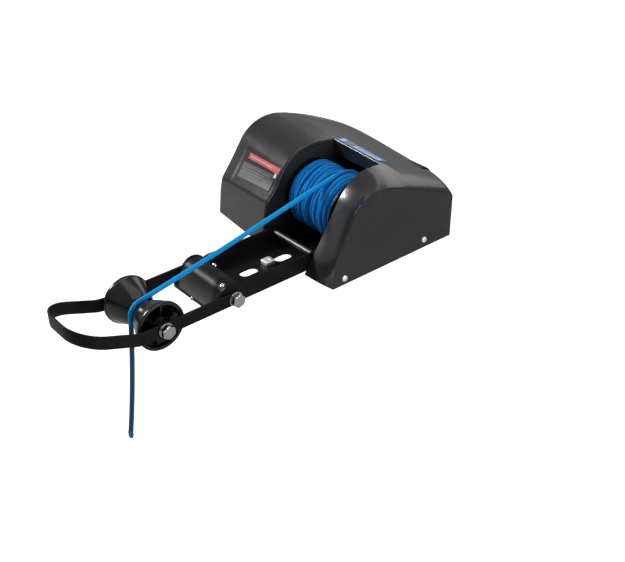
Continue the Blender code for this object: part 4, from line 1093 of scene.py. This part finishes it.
def rear_latch():
    """Dark clip pressed over the rear top edge of the cover, with a pale button.

    Its section is a band of the bridge's outline, from 0.5 mm inside to 0.9 mm outside.
    """
    share = (WINDOW_PORT - 36.0) / (WINDOW_PORT - WINDOW_STBD)
    line = bridge_outline(share)[LIP_COLUMN + 6:]
    line = line[(line[:, 0] > 104.0) & (line[:, 1] > 62.0)]
    out = outward(line)
    section = np.concatenate([line + out * 0.9, (line - out * 0.5)[::-1]])
    centre = section.mean(0)
    rows = [at_x(x, centre + (section - centre) * s)
            for x, s in ((20.0, 0.0), (20.0, 0.5), (20.0, 0.96), (20.6, 1.0), (51.4, 1.0),
                         (52.0, 0.96), (52.0, 0.5), (52.0, 0.0))]
    piece(surface("rear_clip", np.stack(rows), wrap_u=True), NYLON, "chassis", "housing_plastic")
    middle = len(line) // 2
    at = line[middle] + out[middle] * 0.7
    domed_screw("rear_button", (26.0, *at), (0.0, *out[middle]), 2.6, 1.2)


def square_bolt():
    """Square head with soft corners: a squircle outline, a domed top and a centre dimple."""
    turn = turns_of(96)
    square = 1.0 / (np.abs(np.cos(turn)) ** 7 + np.abs(np.sin(turn)) ** 7) ** (1.0 / 7.0)
    low, high, bolt_y = 6.5, 11.7, -109.0
    radius, z = np.array([
        (0.0, low), (6.6, low), (6.9, low + 0.4), (6.9, high - 1.0), (6.6, high - 0.35),
        (6.0, high), (3.4, high + 0.05), (2.5, high), (2.1, high - 0.5), (1.9, high - 2.4),
        (0.0, high - 2.6)]).T[..., None]
    soft = np.clip((radius - 3.0) / 3.0, 0.0, 1.0)
    r = radius * (square * soft + (1 - soft))
    points = np.stack([r * np.cos(turn), bolt_y + r * np.sin(turn), z + 0 * r], -1)
    obj = surface("floor_bolt_head", points, wrap_u=True)
    piece(obj, ZINC, "chassis", "stainless", "channel_bolt")


square_bolt()
rear_latch()


# ---------------------------------------------------------------- softened plates

def softened(name, node_name, width, look, slot):
    """A merged copy of a CAD node with its flat faces joined and its edges eased."""
    limit = 28.0
    mesh = frame["nodes"][node_name].data.copy()
    mesh.name = name
    shape = bmesh.new()
    shape.from_mesh(mesh)
    bmesh.ops.remove_doubles(shape, verts=shape.verts, dist=1e-6)
    bmesh.ops.dissolve_limit(shape, angle_limit=math.radians(1.0), verts=shape.verts,
                             edges=shape.edges)
    shape.to_mesh(mesh)
    shape.free()
    obj = settle(name, mesh, sharp=limit)
    edge = obj.modifiers.new("edge", "BEVEL")
    edge.width = width * MM
    edge.segments = 2
    edge.limit_method = "ANGLE"
    edge.angle_limit = math.radians(limit)
    piece(obj, look, "chassis", slot, node_name)


softened("arm_channel", "chassis_channel", 0.5, POWDER, "black_steel")
softened("shank_block", "saddle_block", 0.9, NYLON, "black_plastic")
softened("deck_plate", "base_plate", 0.4, POWDER, "black_steel")


def guide_bar():
    """Plain round bar across the channel with a soft edge at each end."""
    end, radius = 39.0, 4.0
    bar = revolve("guide_bar", [(0.0, -end), (radius, -end), (radius, end), (0.0, end)],
                  -67.0, 19.5, steps=40)
    piece(bar, GREY_ROD, "chassis", "black_steel", "guide_rod")


guide_bar()


# ---------------------------------------------------------------- carried-over nodes

LOOKS = {
    "black_steel": POWDER, "housing_plastic": HOUSING, "black_plastic": NYLON,
    "stainless": BRIGHT, "steel": TURNED, "bronze": BRONZE, "cast_alloy": CAST,
    "copper": COPPER, "roller_plastic": GLOSS, "rope": BLUE_ROPE,
}


def dress_nodes():
    """Every CAD node takes the finish of its material slot in the record."""
    for part in frame["record"]["subparts"]:
        obj = frame["nodes"][part["node"]]
        obj.data.materials.clear()
        obj.data.materials.append(LOOKS[part["material_slot"]])


dress_nodes()


# ---------------------------------------------------------------- studio

def studio():
    """Pale floor and world, shown brighter than they shine on things, and soft lights."""
    half, low = 6000.0, -157.5
    x, y = np.meshgrid(*[np.linspace(-half, half, 9)] * 2)
    floor = surface("floor", np.stack([x, y, np.full_like(x, low)], -1), closed=False)
    if floor.data.polygons[0].normal.z < 0:
        floor.data.flip_normals()
    look, tree, shader, where = begin_look("pale_floor")
    skin = place_group(tree, MOTTLE, where, Base=grey(0.40), Drift=grey(0.42), Dust=grey(0.38),
                       Scale=2.0, Dust_amount=0.1, Smooth=0.7, Rough=0.8)
    finish_look(tree, shader, skin["Color"], skin["Roughness"], Specular_IOR_Level=0.1,
                Emission_Color=(*grey(0.8), 1.0))
    seen = tree.nodes.new("ShaderNodeLightPath").outputs["Is Camera Ray"]
    tree.links.new(seen, shader.inputs["Emission Strength"])
    floor.data.materials.append(look)
    world = bpy.data.worlds.new("studio")
    world.use_nodes = True
    tree = world.node_tree
    shining, shown = tree.nodes["Background"], tree.nodes.new("ShaderNodeBackground")
    for sky, strength in ((shining, 0.30), (shown, 1.05)):
        set_values(sky, {"Color": (0.97, 0.98, 1.0, 1), "Strength": strength})
    seen = tree.nodes.new("ShaderNodeLightPath").outputs["Is Camera Ray"]
    mix = node(tree, "ShaderNodeMixShader",
               [(seen, 0), (shining.outputs[0], 1), (shown.outputs[0], 2)])
    tree.links.new(mix.outputs[0], tree.nodes["World Output"].inputs["Surface"])
    bpy.context.scene.world = world
    lights = (("key", (-1.25, -1.0, 1.1), 0.5, 0.4, 32.0),
              ("fill", (1.8, 0.1, 0.5), 1.2, 0.8, 20.0),
              ("top", (0.2, 0.3, 1.9), 1.8, 1.8, 12.0), ("back", (-0.6, 1.6, 0.9), 1.6, 0.8, 6.0))
    aim = np.array([0.0, -0.12, 0.05])
    for name, place, width, tall, power in lights:
        data = bpy.data.lights.new(name, "AREA")
        data.shape = "RECTANGLE"
        data.size, data.size_y, data.energy = width, tall, power
        obj = bpy.data.objects.new(name, data)
        back = np.array(place) - aim
        back /= np.linalg.norm(back)
        right = np.cross((0.0, 0.0, 1.0), back)
        right /= np.linalg.norm(right)
        up = np.cross(back, right)
        turn = Matrix((right.tolist(), up.tolist(), back.tolist())).transposed().to_4x4()
        obj.matrix_world = Matrix.Translation(place) @ turn
        bpy.context.scene.collection.objects.link(obj)
    bpy.context.scene.view_settings.view_transform = "Standard"


studio()
